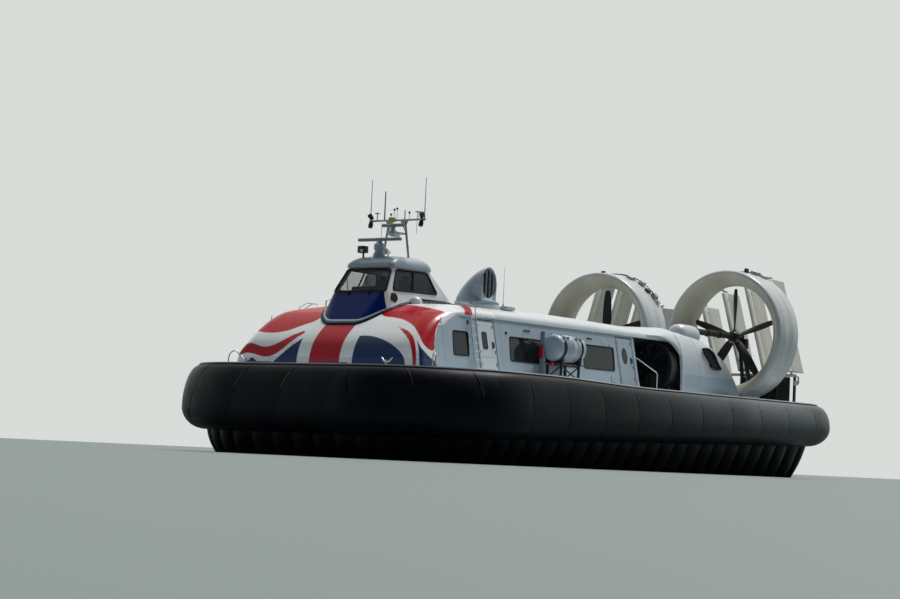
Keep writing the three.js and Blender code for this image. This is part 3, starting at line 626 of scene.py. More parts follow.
def deckEdge(count, bowCorner=3.6):
    # Evenly spaced points round the skirt's rim with their outward directions, anticlockwise from the bow
    corners = []
    for sx, sy in ((1, 1), (-1, 1), (-1, -1), (1, -1)):
        radius = bowCorner if sx > 0 else craft["sternCorner"]
        centre = Vector((sx * (craft["halfLength"] - radius), sy * (craft["halfBeam"] - radius)))
        corners.append((centre, radius))
    runs = []
    for quarter, (centre, radius) in enumerate(corners):
        nextCentre, nextRadius = corners[(quarter + 1) % 4]
        turn = (quarter + 1) * math.pi / 2
        out = Vector((math.cos(turn), math.sin(turn)))
        start, end = centre + out * radius, nextCentre + out * nextRadius
        runs.append((radius * math.pi / 2, centre, radius, quarter, None))
        runs.append(((end - start).length, start, end, None, out))
    total = sum(run[0] for run in runs)
    points = []
    for k in range(count):
        left = total * k / count
        for length, first, second, quarter, out in runs:
            if left <= length:
                break
            left -= length
        if quarter is None:
            points.append((first.lerp(second, left / length), out))
        else:
            turn = quarter * math.pi / 2 + left / second
            facing = Vector((math.cos(turn), math.sin(turn)))
            points.append((first + facing * second, facing))
    return points, total


# Skirt bag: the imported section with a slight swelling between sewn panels.
# Heights in pairs are at stern and bow
bag = {"bulge": 0.54, "foot": -0.235, "inner": -0.90, "seams": 34, "swell": 0.024, "lean": 1.25, "rim": 0.05,
       "widest": (1.80, 1.38), "bottom": (1.15, 0.68), "ends": 11, "roof": 2.5297, "shelf": 1.2497}


def bagHeight(kind, x):
    stern, bow = bag[kind]
    return stern + (x + bag["ends"]) / (2 * bag["ends"]) * (bow - stern)


def easing(share):  # 0 to 1, level at both ends
    return share * share * (3 - 2 * share)


def rimPoint(at, out, reach, z):
    return Vector((at.x + out.x * reach, at.y + out.y * reach, z))


def rimRise(x):  # height of the rail round the deck's edge, raised round the bow
    return 0.022 + 0.10 * easing(min(1, max(0, (x - 0.5) / 6)))


def bagPoint(at, out, t, lift=0.0):
    # t runs from 0 at the deck edge over the widest line at 0.5 to the foot at 1
    top = craft["deckTop"] + rimRise(at.x) - 0.07
    wide = bagHeight("widest", at.x)
    if t <= 0.5:
        turn = math.pi / 2 * (1 - 2 * t)
        reach = bag["rim"] + (bag["bulge"] - bag["rim"]) * math.cos(turn)
        z = wide + (top - wide) * math.sin(turn)
    else:
        turn = math.pi / 2 * (2 * t - 1)
        reach = bag["foot"] + (bag["bulge"] - bag["foot"]) * math.cos(turn)
        z = wide - (wide - bagHeight("bottom", at.x + out.x * reach)) * math.sin(turn)
    return rimPoint(at, out, reach + lift * math.sin(math.pi * min(1, t * 1.02)), z)


def seamLean(out):  # panels of the bow lean towards the centre line as they go down
    return bag["lean"] * max(0, out.x) ** 0.7


def makeBag():
    edge, total = deckEdge(864)
    pitch = 1 / bag["seams"]
    loops = []
    for i, (at, out) in enumerate(edge):
        section = []
        for k in range(29):
            t = k / 28
            along = i / len(edge) + seamLean(out) * (t - 0.1) * (1 if out.y < 0 else -1) / total
            swell = abs(math.sin(math.pi * along / pitch)) ** 0.5 * bag["swell"]
            section.append(bagPoint(at, out, t, swell - bag["swell"] * 0.8))
        inner, side, low = bag["inner"], craft["gap"] - craft["hullSide"], bag["shelf"]
        for reach, z in ((inner, bagHeight("bottom", at.x + out.x * inner)), (inner, low), (side, low),
                         (side, bag["roof"]), (bag["rim"] - 0.02, bag["roof"])):
            section.append(rimPoint(at, out, reach, z))
        loops.append(section)
    shape = Shape()
    shape.loft(loops, "skirt", ring=True)
    shape.piece("skirt_bag_sheet", slot="skirt_rubber", replaces=["skirt_bag"], sharp=50)

    seams = Shape()
    for s in range(bag["seams"]):
        strip = []
        for k in range(27):
            t = 0.02 + 0.96 * k / 26
            base = s * pitch
            guess = base
            for _ in range(3):
                _, out = edge[int(guess * len(edge)) % len(edge)]
                guess = base - seamLean(out) * (t - 0.1) * (1 if out.y < 0 else -1) / total
            row = []
            for shift, lift in ((-0.045, 0.0), (-0.038, 0.016), (0.038, 0.016), (0.045, 0.0), (0.0, -0.03)):
                where = (guess + shift / total) * len(edge)
                i = int(math.floor(where))
                a, outA = edge[i % len(edge)]
                b, outB = edge[(i + 1) % len(edge)]
                at, out = a.lerp(b, where - i), outA.lerp(outB, where - i).normalized()
                row.append(bagPoint(at, out, t, lift - bag["swell"] * 0.8))
            strip.append(row)
        seams.loft(strip, "skirt")
    seams.piece("skirt_bag_seams", slot="skirt_rubber", sharp=60)

    # Rope bead that holds the bag under the rail
    bead = Shape()
    path = [rimPoint(at, out, 0.058, craft["deckTop"] + rimRise(at.x) - 0.062) for at, out in edge[::2]]
    bead.tube(path, 0.036, 8, "rubber", ring=True)
    bead.piece("skirt_top_bead", slot="skirt_rubber")


# Fingers: open loops that bulge out between their ties
finger = {"count": 78, "steps": 12, "bulge": 0.10, "tip": -0.76, "bowTip": 0.26, "thick": 0.19, "full": 0.05,
          "top": bag["foot"] - 0.03, "inner": bag["inner"] - 0.06}


def makeFingers():
    edge, _ = deckEdge(finger["count"] * finger["steps"])
    loops = []
    for i, (at, out) in enumerate(edge):
        bow = math.sin(math.pi * (i % finger["steps"]) / finger["steps"]) ** 0.55
        valley = -finger["bulge"] * (1 - bow)
        tip = finger["tip"] + finger["bowTip"] * max(0, out.x)
        outer, inner = finger["top"] + valley, finger["inner"]
        low = bagHeight("bottom", at.x + out.x * outer) - craft["gap"]
        section = []
        for k in range(9):
            t = k / 8
            reach = outer + (tip + valley - outer) * t + finger["full"] * math.sin(math.pi * t) * bow
            section.append(rimPoint(at, out, reach, low * (1 - t)))
        section.append(rimPoint(at, out, tip - finger["thick"], 0))
        section.append(rimPoint(at, out, inner, bagHeight("bottom", at.x + out.x * inner) - craft["gap"]))
        loops.append(section)
    shape = Shape()
    shape.loft(loops, "finger", ring=True)
    shape.piece("skirt_finger_loops", slot="skirt_rubber", replaces=["skirt_fingers"], sharp=60)


makeBag()
makeFingers()
print("skirt made")


# Nose pattern: outlines in degrees round from the bow about centreX, port positive, and metres above deck
pattern = {
    "centreX": 6.0, "perDegree": 0.065,
    "redField": [
        [(22, 1.80), (26.4, 1.67), (31.1, 1.655), (37.3, 1.585), (41.4, 1.40), (43.3, 1.10), (44.5, 0.84),
         (46.1, 0.68), (49.2, 0.60), (49.3, 1.19), (51.0, 1.48), (53.6, 1.68), (56.2, 1.84), (50.3, 2.0),
         (41.2, 2.12), (34.8, 2.10), (28, 2.02), (22, 1.92)],
        [(33.4, 1.41), (36.9, 1.30), (39.3, 1.23), (41.2, 1.05), (41.9, 0.86), (42.2, 0.70), (42.35, 0.25),
         (42.4, -0.2), (41.4, -0.2), (41.3, 0.25), (40.7, 0.70), (39.6, 0.96), (37.3, 1.19), (35.3, 1.31)],
        [(-42.6, 0.34), (-46.5, 0.48), (-45.7, 0.64), (-41.4, 0.80), (-39.2, 0.80), (-35.7, 0.70),
         (-32.8, 0.67), (-29.1, 0.76), (-26.3, 0.93), (-23.7, 1.10), (-18.6, 1.26), (-16.8, 1.24),
         (-20.0, 1.04), (-22.3, 0.83), (-25.3, 0.57), (-27.8, 0.43), (-30.2, 0.37), (-33.2, 0.37),
         (-35.9, 0.44), (-38.7, 0.50), (-41.1, 0.47)],
        [(-19.5, 1.56), (-26.0, 1.37), (-29.0, 1.21), (-33.5, 1.14), (-37.5, 1.13), (-41.5, 1.17),
         (-46.0, 1.20), (-52.0, 1.50), (-57.0, 1.84), (-50.0, 1.98), (-41.0, 2.12), (-30.0, 2.05),
         (-20.0, 1.90)],
    ],
    "blueField": [
        [(12, -0.2), (12, 0.95), (15.3, 1.00), (17.5, 1.06), (22.3, 1.05), (26.9, 1.0), (32.4, 0.85),
         (36.0, 0.65), (38.1, 0.45), (38.8, 0.27), (38.9, -0.2)],
        [(42.4, 0.98), (43.8, 0.69), (47.0, 0.44), (50.5, 0.26), (50.5, -0.3), (43.6, -0.3), (43.4, 0.24),
         (43.1, 0.65)],
        [(-12, -0.2), (-12, 1.14), (-14.6, 1.12), (-18.4, 0.86), (-21.9, 0.64), (-24.6, 0.43), (-27.7, 0.22),
         (-33, -0.2)],
        [(-32.6, -0.2), (-35.0, 0.26), (-37.4, 0.37), (-39.8, 0.27), (-42.0, -0.2)],
    ],
}


def fieldDistance(outlines, u, v):
    # Signed distance to the outlines, positive inside
    best = -1e9
    scale = pattern["perDegree"]
    for outline in outlines:
        inside, near = False, 1e9
        for i, (u0, v0) in enumerate(outline):
            u1, v1 = outline[(i + 1) % len(outline)]
            if (v0 > v) != (v1 > v) and u < (u1 - u0) * (v - v0) / (v1 - v0) + u0:
                inside = not inside
            a, b = Vector((u0 * scale, v0)), Vector((u1 * scale, v1))
            at, run = Vector((u * scale, v)), b - a
            t = min(1, max(0, (at - a).dot(run) / run.length_squared))
            near = min(near, (at - a - run * t).length)
        best = max(best, near if inside else -near)
    return best


def rounded(outline, rounds=2):  # cuts the corners of an outline, so that it runs in curves
    for _ in range(rounds):
        made = []
        for i, (u0, v0) in enumerate(outline):
            u1, v1 = outline[(i + 1) % len(outline)]
            made += [(u0 * (1 - t) + u1 * t, v0 * (1 - t) + v1 * t) for t in (0.22, 0.78)]
        outline = made
    return outline


def softCorners(outline, radius, steps=5):
    # The outline with an arc of the given reach at every corner
    made = []
    for i, corner in enumerate(outline):
        at = Vector(corner)
        before, after = Vector(outline[i - 1]) - at, Vector(outline[(i + 1) % len(outline)]) - at
        reach = min(radius, before.length * 0.48, after.length * 0.48)
        start, end = at + before.normalized() * reach, at + after.normalized() * reach
        for k in range(steps + 1):
            t = k / steps
            made.append(tuple(start.lerp(at, t).lerp(at.lerp(end, t), t)))
    return made


def noseHalf(z):
    if z <= craft["eave"]:
        return wallHalf(z)
    share = min(1, (z - craft["eave"]) / roofRise[0][1])
    return eaveHalf * (1 - share ** craft["roofPower"]) ** (1 / craft["roofPower"])


def thicken(piece, offset):
    wall = piece.modifiers.new("wall", "SOLIDIFY")
    wall.thickness, wall.offset = craft["skin"], offset


def makeNose():
    eave = craft["eave"]
    levels = [deckFace + (eave - deckFace) * k / 44 for k in range(45)]
    levels += [eave + 0.0002] + [eave + 0.46 * math.sin(math.pi / 2 * k / 22) for k in range(1, 23)]
    loops = []
    for z in levels:
        front, corner, reach = [lookUp(noseLevels, z, column) for column in (1, 2, 3)]
        half = noseHalf(z)
        reach = min(reach, half - 0.04)
        flat = half - reach
        back = noseBack(z)
        port = [(back + (corner - back) * k / 18, half) for k in range(18)]
        for k in range(41):
            turn = math.pi / 2 * k / 40
            port.append((corner + (front - corner) * math.sin(turn), flat + reach * math.cos(turn)))
        port += [(front, flat * (1 - k / 14)) for k in range(1, 15)]
        starboard = [(x, -y) for x, y in reversed(port[:-1])]
        loops.append([Vector((x, y, z)) for x, y in port + starboard])
    count = len(loops[0])
    points = [point for loop in loops for point in loop]
    faces = []
    for i in range(len(loops) - 1):
        for j in range(count - 1):
            a = i * count + j
            faces.append((a, a + 1, a + count + 1, a + count))
    top = (len(loops) - 1) * count
    faces.append(tuple(range(top, top + count)))
    mesh = bpy.data.meshes.new("nose_skin")
    mesh.from_pydata(points, [], faces)
    mesh.materials.append(paints["livery"].material)
    outlines = {name: [rounded(outline) for outline in pattern[name]] for name in ("redField", "blueField")}
    values = {name: [] for name in outlines}
    for point in points:
        u = math.degrees(math.atan2(point.y, point.x - pattern["centreX"]))
        v = point.z - craft["deckTop"]
        for name, shapes in outlines.items():
            values[name].append(fieldDistance(shapes, u, v))
    for name, numbers in values.items():
        mesh.attributes.new(name, "FLOAT", "POINT").data.foreach_set("value", numbers)
    form = bmesh.new()
    form.from_mesh(mesh)
    bmesh.ops.recalc_face_normals(form, faces=form.faces)
    middle = max(form.faces, key=lambda face: face.calc_center_median().x)
    if middle.normal.x < 0:
        bmesh.ops.reverse_faces(form, faces=form.faces)
    form.to_mesh(mesh)
    form.free()
    mesh.shade_smooth()
    piece = settle(bpy.data.objects.new("nose_skin", mesh), replaces=["nose_shell"])
    thicken(piece, -1)


makeNose()
print("nose made")


# Roof: rounded shell with the rings that carry the bow thrusters
roof = {"sections": [5.8997, 5.2, 4.6, 3.8, 3.0, 2.2, 1.4, 0.5, -0.4, -1.3, -2.1, -2.9, -3.6, -4.3],
        "steps": 26}
thruster = {"x": 4.95, "y": 1.9, "ringTop": 4.99, "facing": math.radians(100), "mouth": 0.38, "height": 0.63}


def superArc(turn, power):  # a point of the half oval whose fullness grows with the power
    across, high = math.cos(turn), max(0, math.sin(turn))
    return math.copysign(abs(across) ** (2 / power), across), high ** (2 / power)


def crossways(rows):  # the same points, with the loops run the other way
    return [list(row) for row in zip(*rows)]


def roofLoop(x, inset=0.0):
    rise, half = lookUp(roofRise, x) - inset, eaveHalf - inset
    points = []
    for k in range(2 * roof["steps"] + 1):
        across, high = superArc(math.pi * k / (2 * roof["steps"]), craft["roofPower"])
        points.append(Vector((x, half * across, craft["eave"] + craft["gap"] + rise * high)))
    return points


def makeRoof():
    shape = Shape()
    outer = [roofLoop(x) for x in roof["sections"]]
    inner = [roofLoop(x, 0.08) for x in roof["sections"]]
    loops = [out + list(reversed(within)) for out, within in zip(outer, inner)]
    shape.loft(loops, "white")
    ring = [(-0.35, 0), (-0.35, 0.70), (-0.35, 0.74), (-0.06, 0.74), (-0.05, 0.70), (-0.015, 0.70), (0, 0.68),
            (0, 0)]
    for side in (1, -1):
        shape.lathe(ring, (thruster["x"], side * thruster["y"], thruster["ringTop"]), upward, 48)
    shape.piece("roof_skin", slot="white_paint", replaces=["cabin_roof"], sharp=45)
    # Gutter moulding along each eave, and a raised joint strip every few metres
    trim = Shape()
    for side in (1, -1):
        path = [(x, side * (eaveHalf + 0.006), craft["eave"] - 0.006) for x in (6.4, 4, 2, 0, -2, -4.28)]
        trim.tube(path, 0.016, 8, "side")
    for x in (3.1, 0.4, -2.2):
        centre = Vector((x, 0, 4.0))
        strip = [[point + forward * dx + (point - centre).normalized() * lift for point in roofLoop(x)[2:-2]]
                 for dx, lift in ((-0.03, 0.0), (-0.026, 0.005), (0.026, 0.005), (0.03, 0))]
        trim.loft(crossways(strip), "white")
    trim.piece("roof_trim", slot="white_paint")


makeRoof()
print("roof made")

# Propulsion: ducts, propellers, pylons, shaft fairings and rudders
duct = {
    "y": 2.78, "z": 5.0, "lip": -8.48, "steps": 128, "crown": 2.326, "footHalf": 0.90, "footCurve": 2.12,
    # distance aft of the lip and radius, over the outside to the aft edge and back through the throat
    "outside": [(0.000, 2.215), (0.012, 2.255), (0.045, 2.300), (0.10, 2.322), (0.20, 2.330), (0.42, 2.330),
                (0.43, 2.331), (0.50, 2.331), (0.51, 2.329), (0.95, 2.320), (0.96, 2.321), (1.03, 2.320),
                (1.04, 2.318), (1.38, 2.310), (1.412, 2.296), (1.42, 2.26)],
    "throat": [(1.405, 1.975), (1.395, 1.95), (1.15, 1.88), (0.95, 1.825), (0.88, 1.81), (0.64, 1.81),
               (0.50, 1.83), (0.35, 1.88), (0.22, 1.955), (0.13, 2.03), (0.06, 2.105), (0.02, 2.165)],
}
prop = {"x": -9.32, "z": 4.985, "blades": 5, "hubHalf": 0.17, "bolts": 10}
bladeTable = [  # distance from the axis, chord, thickness, pitch in degrees
    (0.13, 0.20, 0.10, 64), (0.30, 0.30, 0.075, 55), (0.60, 0.335, 0.05, 45), (0.90, 0.325, 0.038, 37),
    (1.20, 0.30, 0.03, 30), (1.50, 0.25, 0.022, 25), (1.68, 0.19, 0.016, 22), (1.73, 0.10, 0.012, 22),
]
rudder = {"x": -10.26, "low": 3.78, "cant": math.radians(16),
          "offsets": (("inner", -1.5), ("middle_inner", -0.5), ("middle_outer", 0.5), ("outer", 1.5)),
          "tops": {"inner": 6.13, "middle_inner": 6.63, "middle_outer": 6.84, "outer": 7.12}}


def makeDuct():
    shape = Shape()
    y, z = duct["y"], duct["z"]
    profile = [(-back, radius) for back, radius in duct["outside"] + duct["throat"]]
    finish = ["ductOut"] * len(duct["outside"]) + ["cream"] * len(duct["throat"])
    shape.lathe(profile, (duct["lip"], y, z), forward, duct["steps"], finish, ring=True)
    # Pedestal under the duct, hollowed to its curve
    loops = []
    for back, pinch in ((0.15, 0.05), (0.20, 0.0), (1.25, 0.0), (1.30, 0.05)):
        x, half = duct["lip"] - back, duct["footHalf"] - pinch
        loop = []
        for k in range(25):
            across = (k / 12 - 1) * half
            loop.append((x, y + across, z - math.sqrt(duct["footCurve"] ** 2 - across ** 2) + 0.004))
        loops.append(loop + [(x, y + half, deckFace), (x, y - half, deckFace)])
    shape.loft(loops, "ductOut")

    # Fittings round the back edge of the crown: boxes, brackets and a pipe run
    def onRing(x, turn, across=0.0, up=0.0):
        angle, reach = math.radians(turn), duct["crown"] + up
        return Vector((x, y + reach * math.sin(angle) + across * math.cos(angle),
                       z + reach * math.cos(angle) - across * math.sin(angle)))

    for x, turn, (long, wide, high), paint in (
            (-9.62, 15, (0.30, 0.26, 0.11), "steel"), (-9.70, 23, (0.26, 0.20, 0.08), "ductOut"),
            (-9.50, -22, (0.30, 0.24, 0.10), "steel"), (-9.66, -33, (0.22, 0.20, 0.14), "ductOut"),
            (-9.60, -43, (0.26, 0.16, 0.08), "black"), (-9.74, -50, (0.18, 0.24, 0.13), "steel"),
            (-9.45, 8, (0.14, 0.12, 0.16), "black"), (-9.76, -57, (0.16, 0.12, 0.09), "ductOut")):
        shape.box((-long / 2, -wide / 2, -0.04), (long / 2, wide / 2, high), paint, 0.012,
                  lambda p: onRing(x + p.x, turn, p.y, p.z))
    for first, last, x, up, thick in ((-58, 26, -9.80, 0.05, 0.02), (-50, 20, -9.56, 0.035, 0.014)):
        path = [onRing(x + 0.03 * (k % 2), first + (last - first) * k / 16, 0, up) for k in range(17)]
        shape.tube(path, thick, 8, "black")
    bothSides(shape, "duct_skin", slot="duct_cream", replaces=["duct"])


def makePropellers():
    shape = Shape()
    hub, half = Vector((prop["x"], duct["y"], prop["z"])), prop["hubHalf"]
    for swing in angles(prop["blades"]):
        turn = Matrix.Rotation(swing, 3, "X")
        loops = []
        for radius, chord, thick, pitch in bladeTable:
            angle = math.radians(pitch)
            loop = []
            for bend in angles(18):
                along = chord / 2 * math.cos(bend)
                across = thick / 2 * math.sin(bend) * (0.55 + 0.45 * math.cos(bend))
                across += 0.03 * chord * math.sin(bend) ** 2
                loop.append(hub + turn @ Vector((along * math.sin(angle) + across * math.cos(angle),
                                                 along * math.cos(angle) - across * math.sin(angle), radius)))
            loops.append(loop)
        shape.loft(loops, "black")
        root = turn @ upward
        shape.rod(hub + root * 0.12, hub + root * 0.255, 0.085, 20, "steel")
    shape.lathe([(-half, 0), (-half, 0.15), (-0.14, 0.185), (0.12, 0.19), (0.16, half), (half, 0.13),
                 (half, 0)], hub, forward, 36, "black")
    for angle in angles(prop["bolts"]):
        at = hub + Vector((0.168, 0.10 * math.cos(angle), 0.10 * math.sin(angle)))
        shape.rod(at, at + forward * 0.016, 0.012, 6, "steel")
    bothSides(shape, "propeller_blades", "propeller", "black_paint", ["propeller"])


def makePylons():
    shape = Shape()
    y, z, x = duct["y"], prop["z"], -9.70
    shape.lathe([(0, 0), (0, 0.12), (0.03, 0.15), (0.30, 0.15), (0.33, 0.12), (0.3297, 0)], (x - 0.12, y, z),
                forward, 32, "black")
    hubFace = prop["x"] - prop["hubHalf"] - craft["gap"]
    shape.points = [(min(along, hubFace), across, up) for along, across, up in shape.points]
    for spread in (-0.19, 0.19):
        top, end = Vector((x, y, z)), Vector((x, y + 0.42 + spread, z - 1.95))
        foot = top.lerp(end, 1.86 / (top - end).length)
        shape.rod(top, foot, 0.07, 16, "black")
        for share in (0.25, 0.45, 0.65):
            at, half = top.lerp(foot, share), Vector((0.09, 0.09, 0.02))
            shape.box(at - half, at + half, "black", 0.006)
    shape.box((x - 0.1, y + 0.02, z - 0.42), (x + 0.1, y + 0.33, z - 0.06), "black", 0.02)
    shape.tube([(x + ahead, y + across, z - down) for ahead, across, down in
                ((0, 0.1, 0.4), (0.03, 0.22, 0.8), (0, 0.36, 1.5), (0, 0.42, 1.83))], 0.02, 8, "steel")
    bothSides(shape, "pylon_legs", slot="black_paint", replaces=["pylon"])
    # Drive shaft fairing: a pale pod on the cowl and the dark shaft behind it
    pod = Shape()
    pod.lathe([(0, 0), (0.02, 0.18), (0.09, 0.29), (0.22, 0.36), (0.42, 0.38), (0.98, 0.38), (1.18, 0.36),
               (1.31, 0.29), (1.38, 0.18), (1.40, 0)], (-6.60, y, 4.78), forward, 40, "white")
    pod.rod((-6.4, y, z), (-9.1497, y, z), 0.11, 24, "black")
    for x0 in (-6.62, -7.4, -8.2, -8.95):
        pod.rod((x0, y, z), (x0 - 0.09, y, z), 0.135, 24, "black")
    bothSides(pod, "shaft_fairing", slot="black_paint", replaces=["shaft_housing"])


def rudderShape(name, across):
    shape = Shape()
    cant, low = rudder["cant"], rudder["low"]
    length = (rudder["tops"][name] - low) / math.cos(cant)
    turn = Matrix.Rotation(cant, 3, "X")
    foot = Vector((rudder["x"], duct["y"] + across + (duct["z"] - low) * math.tan(cant), low))
    outline = [(0.29, 0), (0.275, 0.030), (0.235, 0.052), (0.17, 0.066), (0.05, 0.075), (-0.18, 0.066),
               (-0.42, 0.045), (-0.68, 0.022), (-0.92, 0.006)]
    outline += [(x, -y) for x, y in reversed(outline[1:])]
    ends = [(0, 0.80), (0.015, 0.95), (0.03, 1.0)]
    levels = ends + [(length * k / 12, 1.0) for k in range(1, 12)]
    levels += [(length - height, pinch) for height, pinch in reversed(ends)]
    loops = [[foot + turn @ Vector((x, y * pinch, height)) for x, y in outline] for height, pinch in levels]
    shape.loft(loops, "rudder")
    count = len(outline)
    for i in range(len(loops) - 1):
        for j in range(-4, 4):  # the leading edge gets pale paint, brightened as painted light
            shape.kinds[i * count + j % count] = "bright"
    shape.rod(foot + turn @ (upward * -0.06), foot + turn @ (upward * (length + 0.05)), 0.03, 16, "steel")
    for middle in (0.25, length * 0.5, length - 0.25):
        shape.box((-0.06, -0.078, middle - 0.05), (0.06, 0.078, middle + 0.05), "steel", 0.01,
                  lambda p: foot + turn @ p)
    return shape


def makeRudders():
    for name, across in rudder["offsets"]:
        node = f"rudder_{name}"
        bothSides(rudderShape(name, across), f"rudder_vane_{name}", node, "duct_cream", [node])
    # A bracket from the duct's back edge to each rudder's upper pin
    beam = Shape()
    x, centre, ductEnd = rudder["x"], Vector((duct["y"], duct["z"])), -9.9003
    for name, across in rudder["offsets"]:
        top = rudder["tops"][name] + 0.045
        pivot = Vector((centre.x + across + (centre.y - top) * math.tan(rudder["cant"]), top))
        reach = pivot - centre
        root = centre + reach.normalized() * min(2.15, max(2.04, reach.length))
        beam.tube([(ductEnd, root.x, root.y), (-10.08, root.x, root.y), (x + 0.07, pivot.x, pivot.y + 0.02),
                   (x - 0.07, pivot.x, pivot.y + 0.02)], 0.045, 10, "ductOut")
        beam.box((-9.93, root.x - 0.11, root.y - 0.07), (ductEnd, root.x + 0.11, root.y + 0.07), "ductOut",
                 0.008)
    bothSides(beam, "rudder_upper_brackets", slot="bare_metal", replaces=["rudder_beam"])


makeDuct()
makePropellers()
makePylons()
makeRudders()
print("propulsion made")

# Engine cowls over the lift fan bays
cowl = {"front": -4.3003, "aft": -8.38, "inner": 0.75, "steps": 48, "stations": 46, "power": 3.4, "fall": 3.2,
        "lowest": 0.1, "rise": 2.16, "louvre": ((-6.95, -6.25), (3.72, 4.30))}


def cowlSection(x, lift=0.0, steps=48):
    s = min(1, max(0, (cowl["front"] - x) / (cowl["front"] - cowl["aft"])))
    height = cowl["lowest"] + cowl["rise"] * math.sqrt(max(1 - s ** cowl["fall"], 0)) + lift
    inner, outer = cowl["inner"] - lift, craft["wallFoot"] + lift - 0.06 * s
    middle, half = (outer + inner) / 2, (outer - inner) / 2
    points = []
    for k in range(steps + 1):
        reach, high = superArc(math.pi * k / steps, cowl["power"])
        points.append(Vector((x, middle + half * reach, deckFace + height * high)))
    return points


def makeCowl():
    shape = Shape()
    stations = [cowl["front"] - (cowl["front"] - cowl["aft"]) * math.sin(math.pi / 2 * k / cowl["stations"])
                for k in range(cowl["stations"] + 1)]
    (back, fore), (low, high) = cowl["louvre"]
    stations = sorted(set(stations + [fore, back]), reverse=True)
    rows = [cowlSection(x) for x in stations]
    count = cowl["steps"] + 1
    points = [point for row in rows for point in row]
    faces = []
    for i in range(len(rows) - 1):
        for j in range(count - 1):
            corners = (i * count + j, i * count + j + 1, (i + 1) * count + j + 1, (i + 1) * count + j)
            middle = sum((points[c] for c in corners), Vector()) / 4
            if middle.y > 3.2 and back < middle.x < fore and low < middle.z < high:
                continue
            faces.append(corners)
    faces.append(tuple(range(len(points) - count, len(points))))
    shape.add(points, faces, "white")
    for sideName, side in sides:
        made = shape if side > 0 else shape.flip()
        piece = made.piece(f"cowl_skin_{sideName}", slot="white_paint", replaces=[f"engine_cowl_{sideName}"])
        centre = Vector((-6, side * 2.2, 3.4))
        face = piece.data.polygons[len(piece.data.polygons) // 2]
        thicken(piece, -1 if face.normal.dot(face.center - centre) > 0 else 1)
    # Louvre with rounded frame and slats, and the collar round the fan bay's mouth
    trim = Shape()
    outline = softCorners([(-6.98, 3.64), (-6.42, 3.64), (-5.80, 4.34), (-6.30, 4.34)], 0.14)

    def onCowl(x, z, out):
        return Vector((x, 3.66 + out - (z - 3.7) * 0.15, z))

    trim.tube([onCowl(x, z, 0.055) for x, z in outline], 0.022, 8, "rubber", ring=True)
    for depth, sheet in ((0.035, "rubber"), (0.0, "black")):
        trim.loft([[onCowl(x, z, depth - inward) for x, z in outline] for inward in (0.0, 0.012)], sheet)
    for k in range(8):
        z = 3.74 + 0.07 * k
        shift = (z - 3.64) * 0.9
        trim.rod(onCowl(-6.86 + shift, z, 0.042), onCowl(-6.46 + shift * 0.92, z, 0.042), 0.009, 6, "black")
    # Brow that carries the cabin roof into the arch
    brow = []
    power, rise = craft["roofPower"], lookUp(roofRise, -2.3)
    arch = cowlSection(cowl["front"] - 0.03, 0.055, 60)
    for index in range(8, 56):
        t = max(0, (30 - index) / 22)
        aft = arch[index]
        crown = rise * max(0, 1 - (min(aft.y, 3.3) / eaveHalf) ** power) ** (1 / power)
        fore = Vector((-2.2 - 1.75 * t * t, min(aft.y, 3.36), craft["eave"] + crown - 0.012))
        row = []
        for step in range(13):
            share = step / 12
            blend = easing(share)
            row.append(fore + (aft - fore) * Vector((share, blend, blend)))
        brow.append(row + [point - Vector((0, 0.025, 0.03)) for point in reversed(row)])
    trim.loft(brow, "white")
    collar = []
    for lift, x in ((0.0, -4.42), (0.055, -4.40), (0.07, -4.34), (0.055, -4.31), (-0.03, -4.302),
                    (-0.05, -4.34)):
        collar.append([(x, point.y, point.z) for point in cowlSection(cowl["front"], lift)])
    trim.loft(crossways(collar), "white")
    for x in (-5.55, -7.6):
        strip = [cowlSection(x + dx, lift)
                 for dx, lift in ((-0.03, 0.0), (-0.026, 0.006), (0.026, 0.006), (0.03, 0.0))]
        trim.loft(crossways(strip), "white")
    bothSides(trim, "cowl_trim", slot="white_paint")


fan = {"x": -4.15, "y": 2.70, "z": 3.56, "blades": 12, "guard": -3.84}


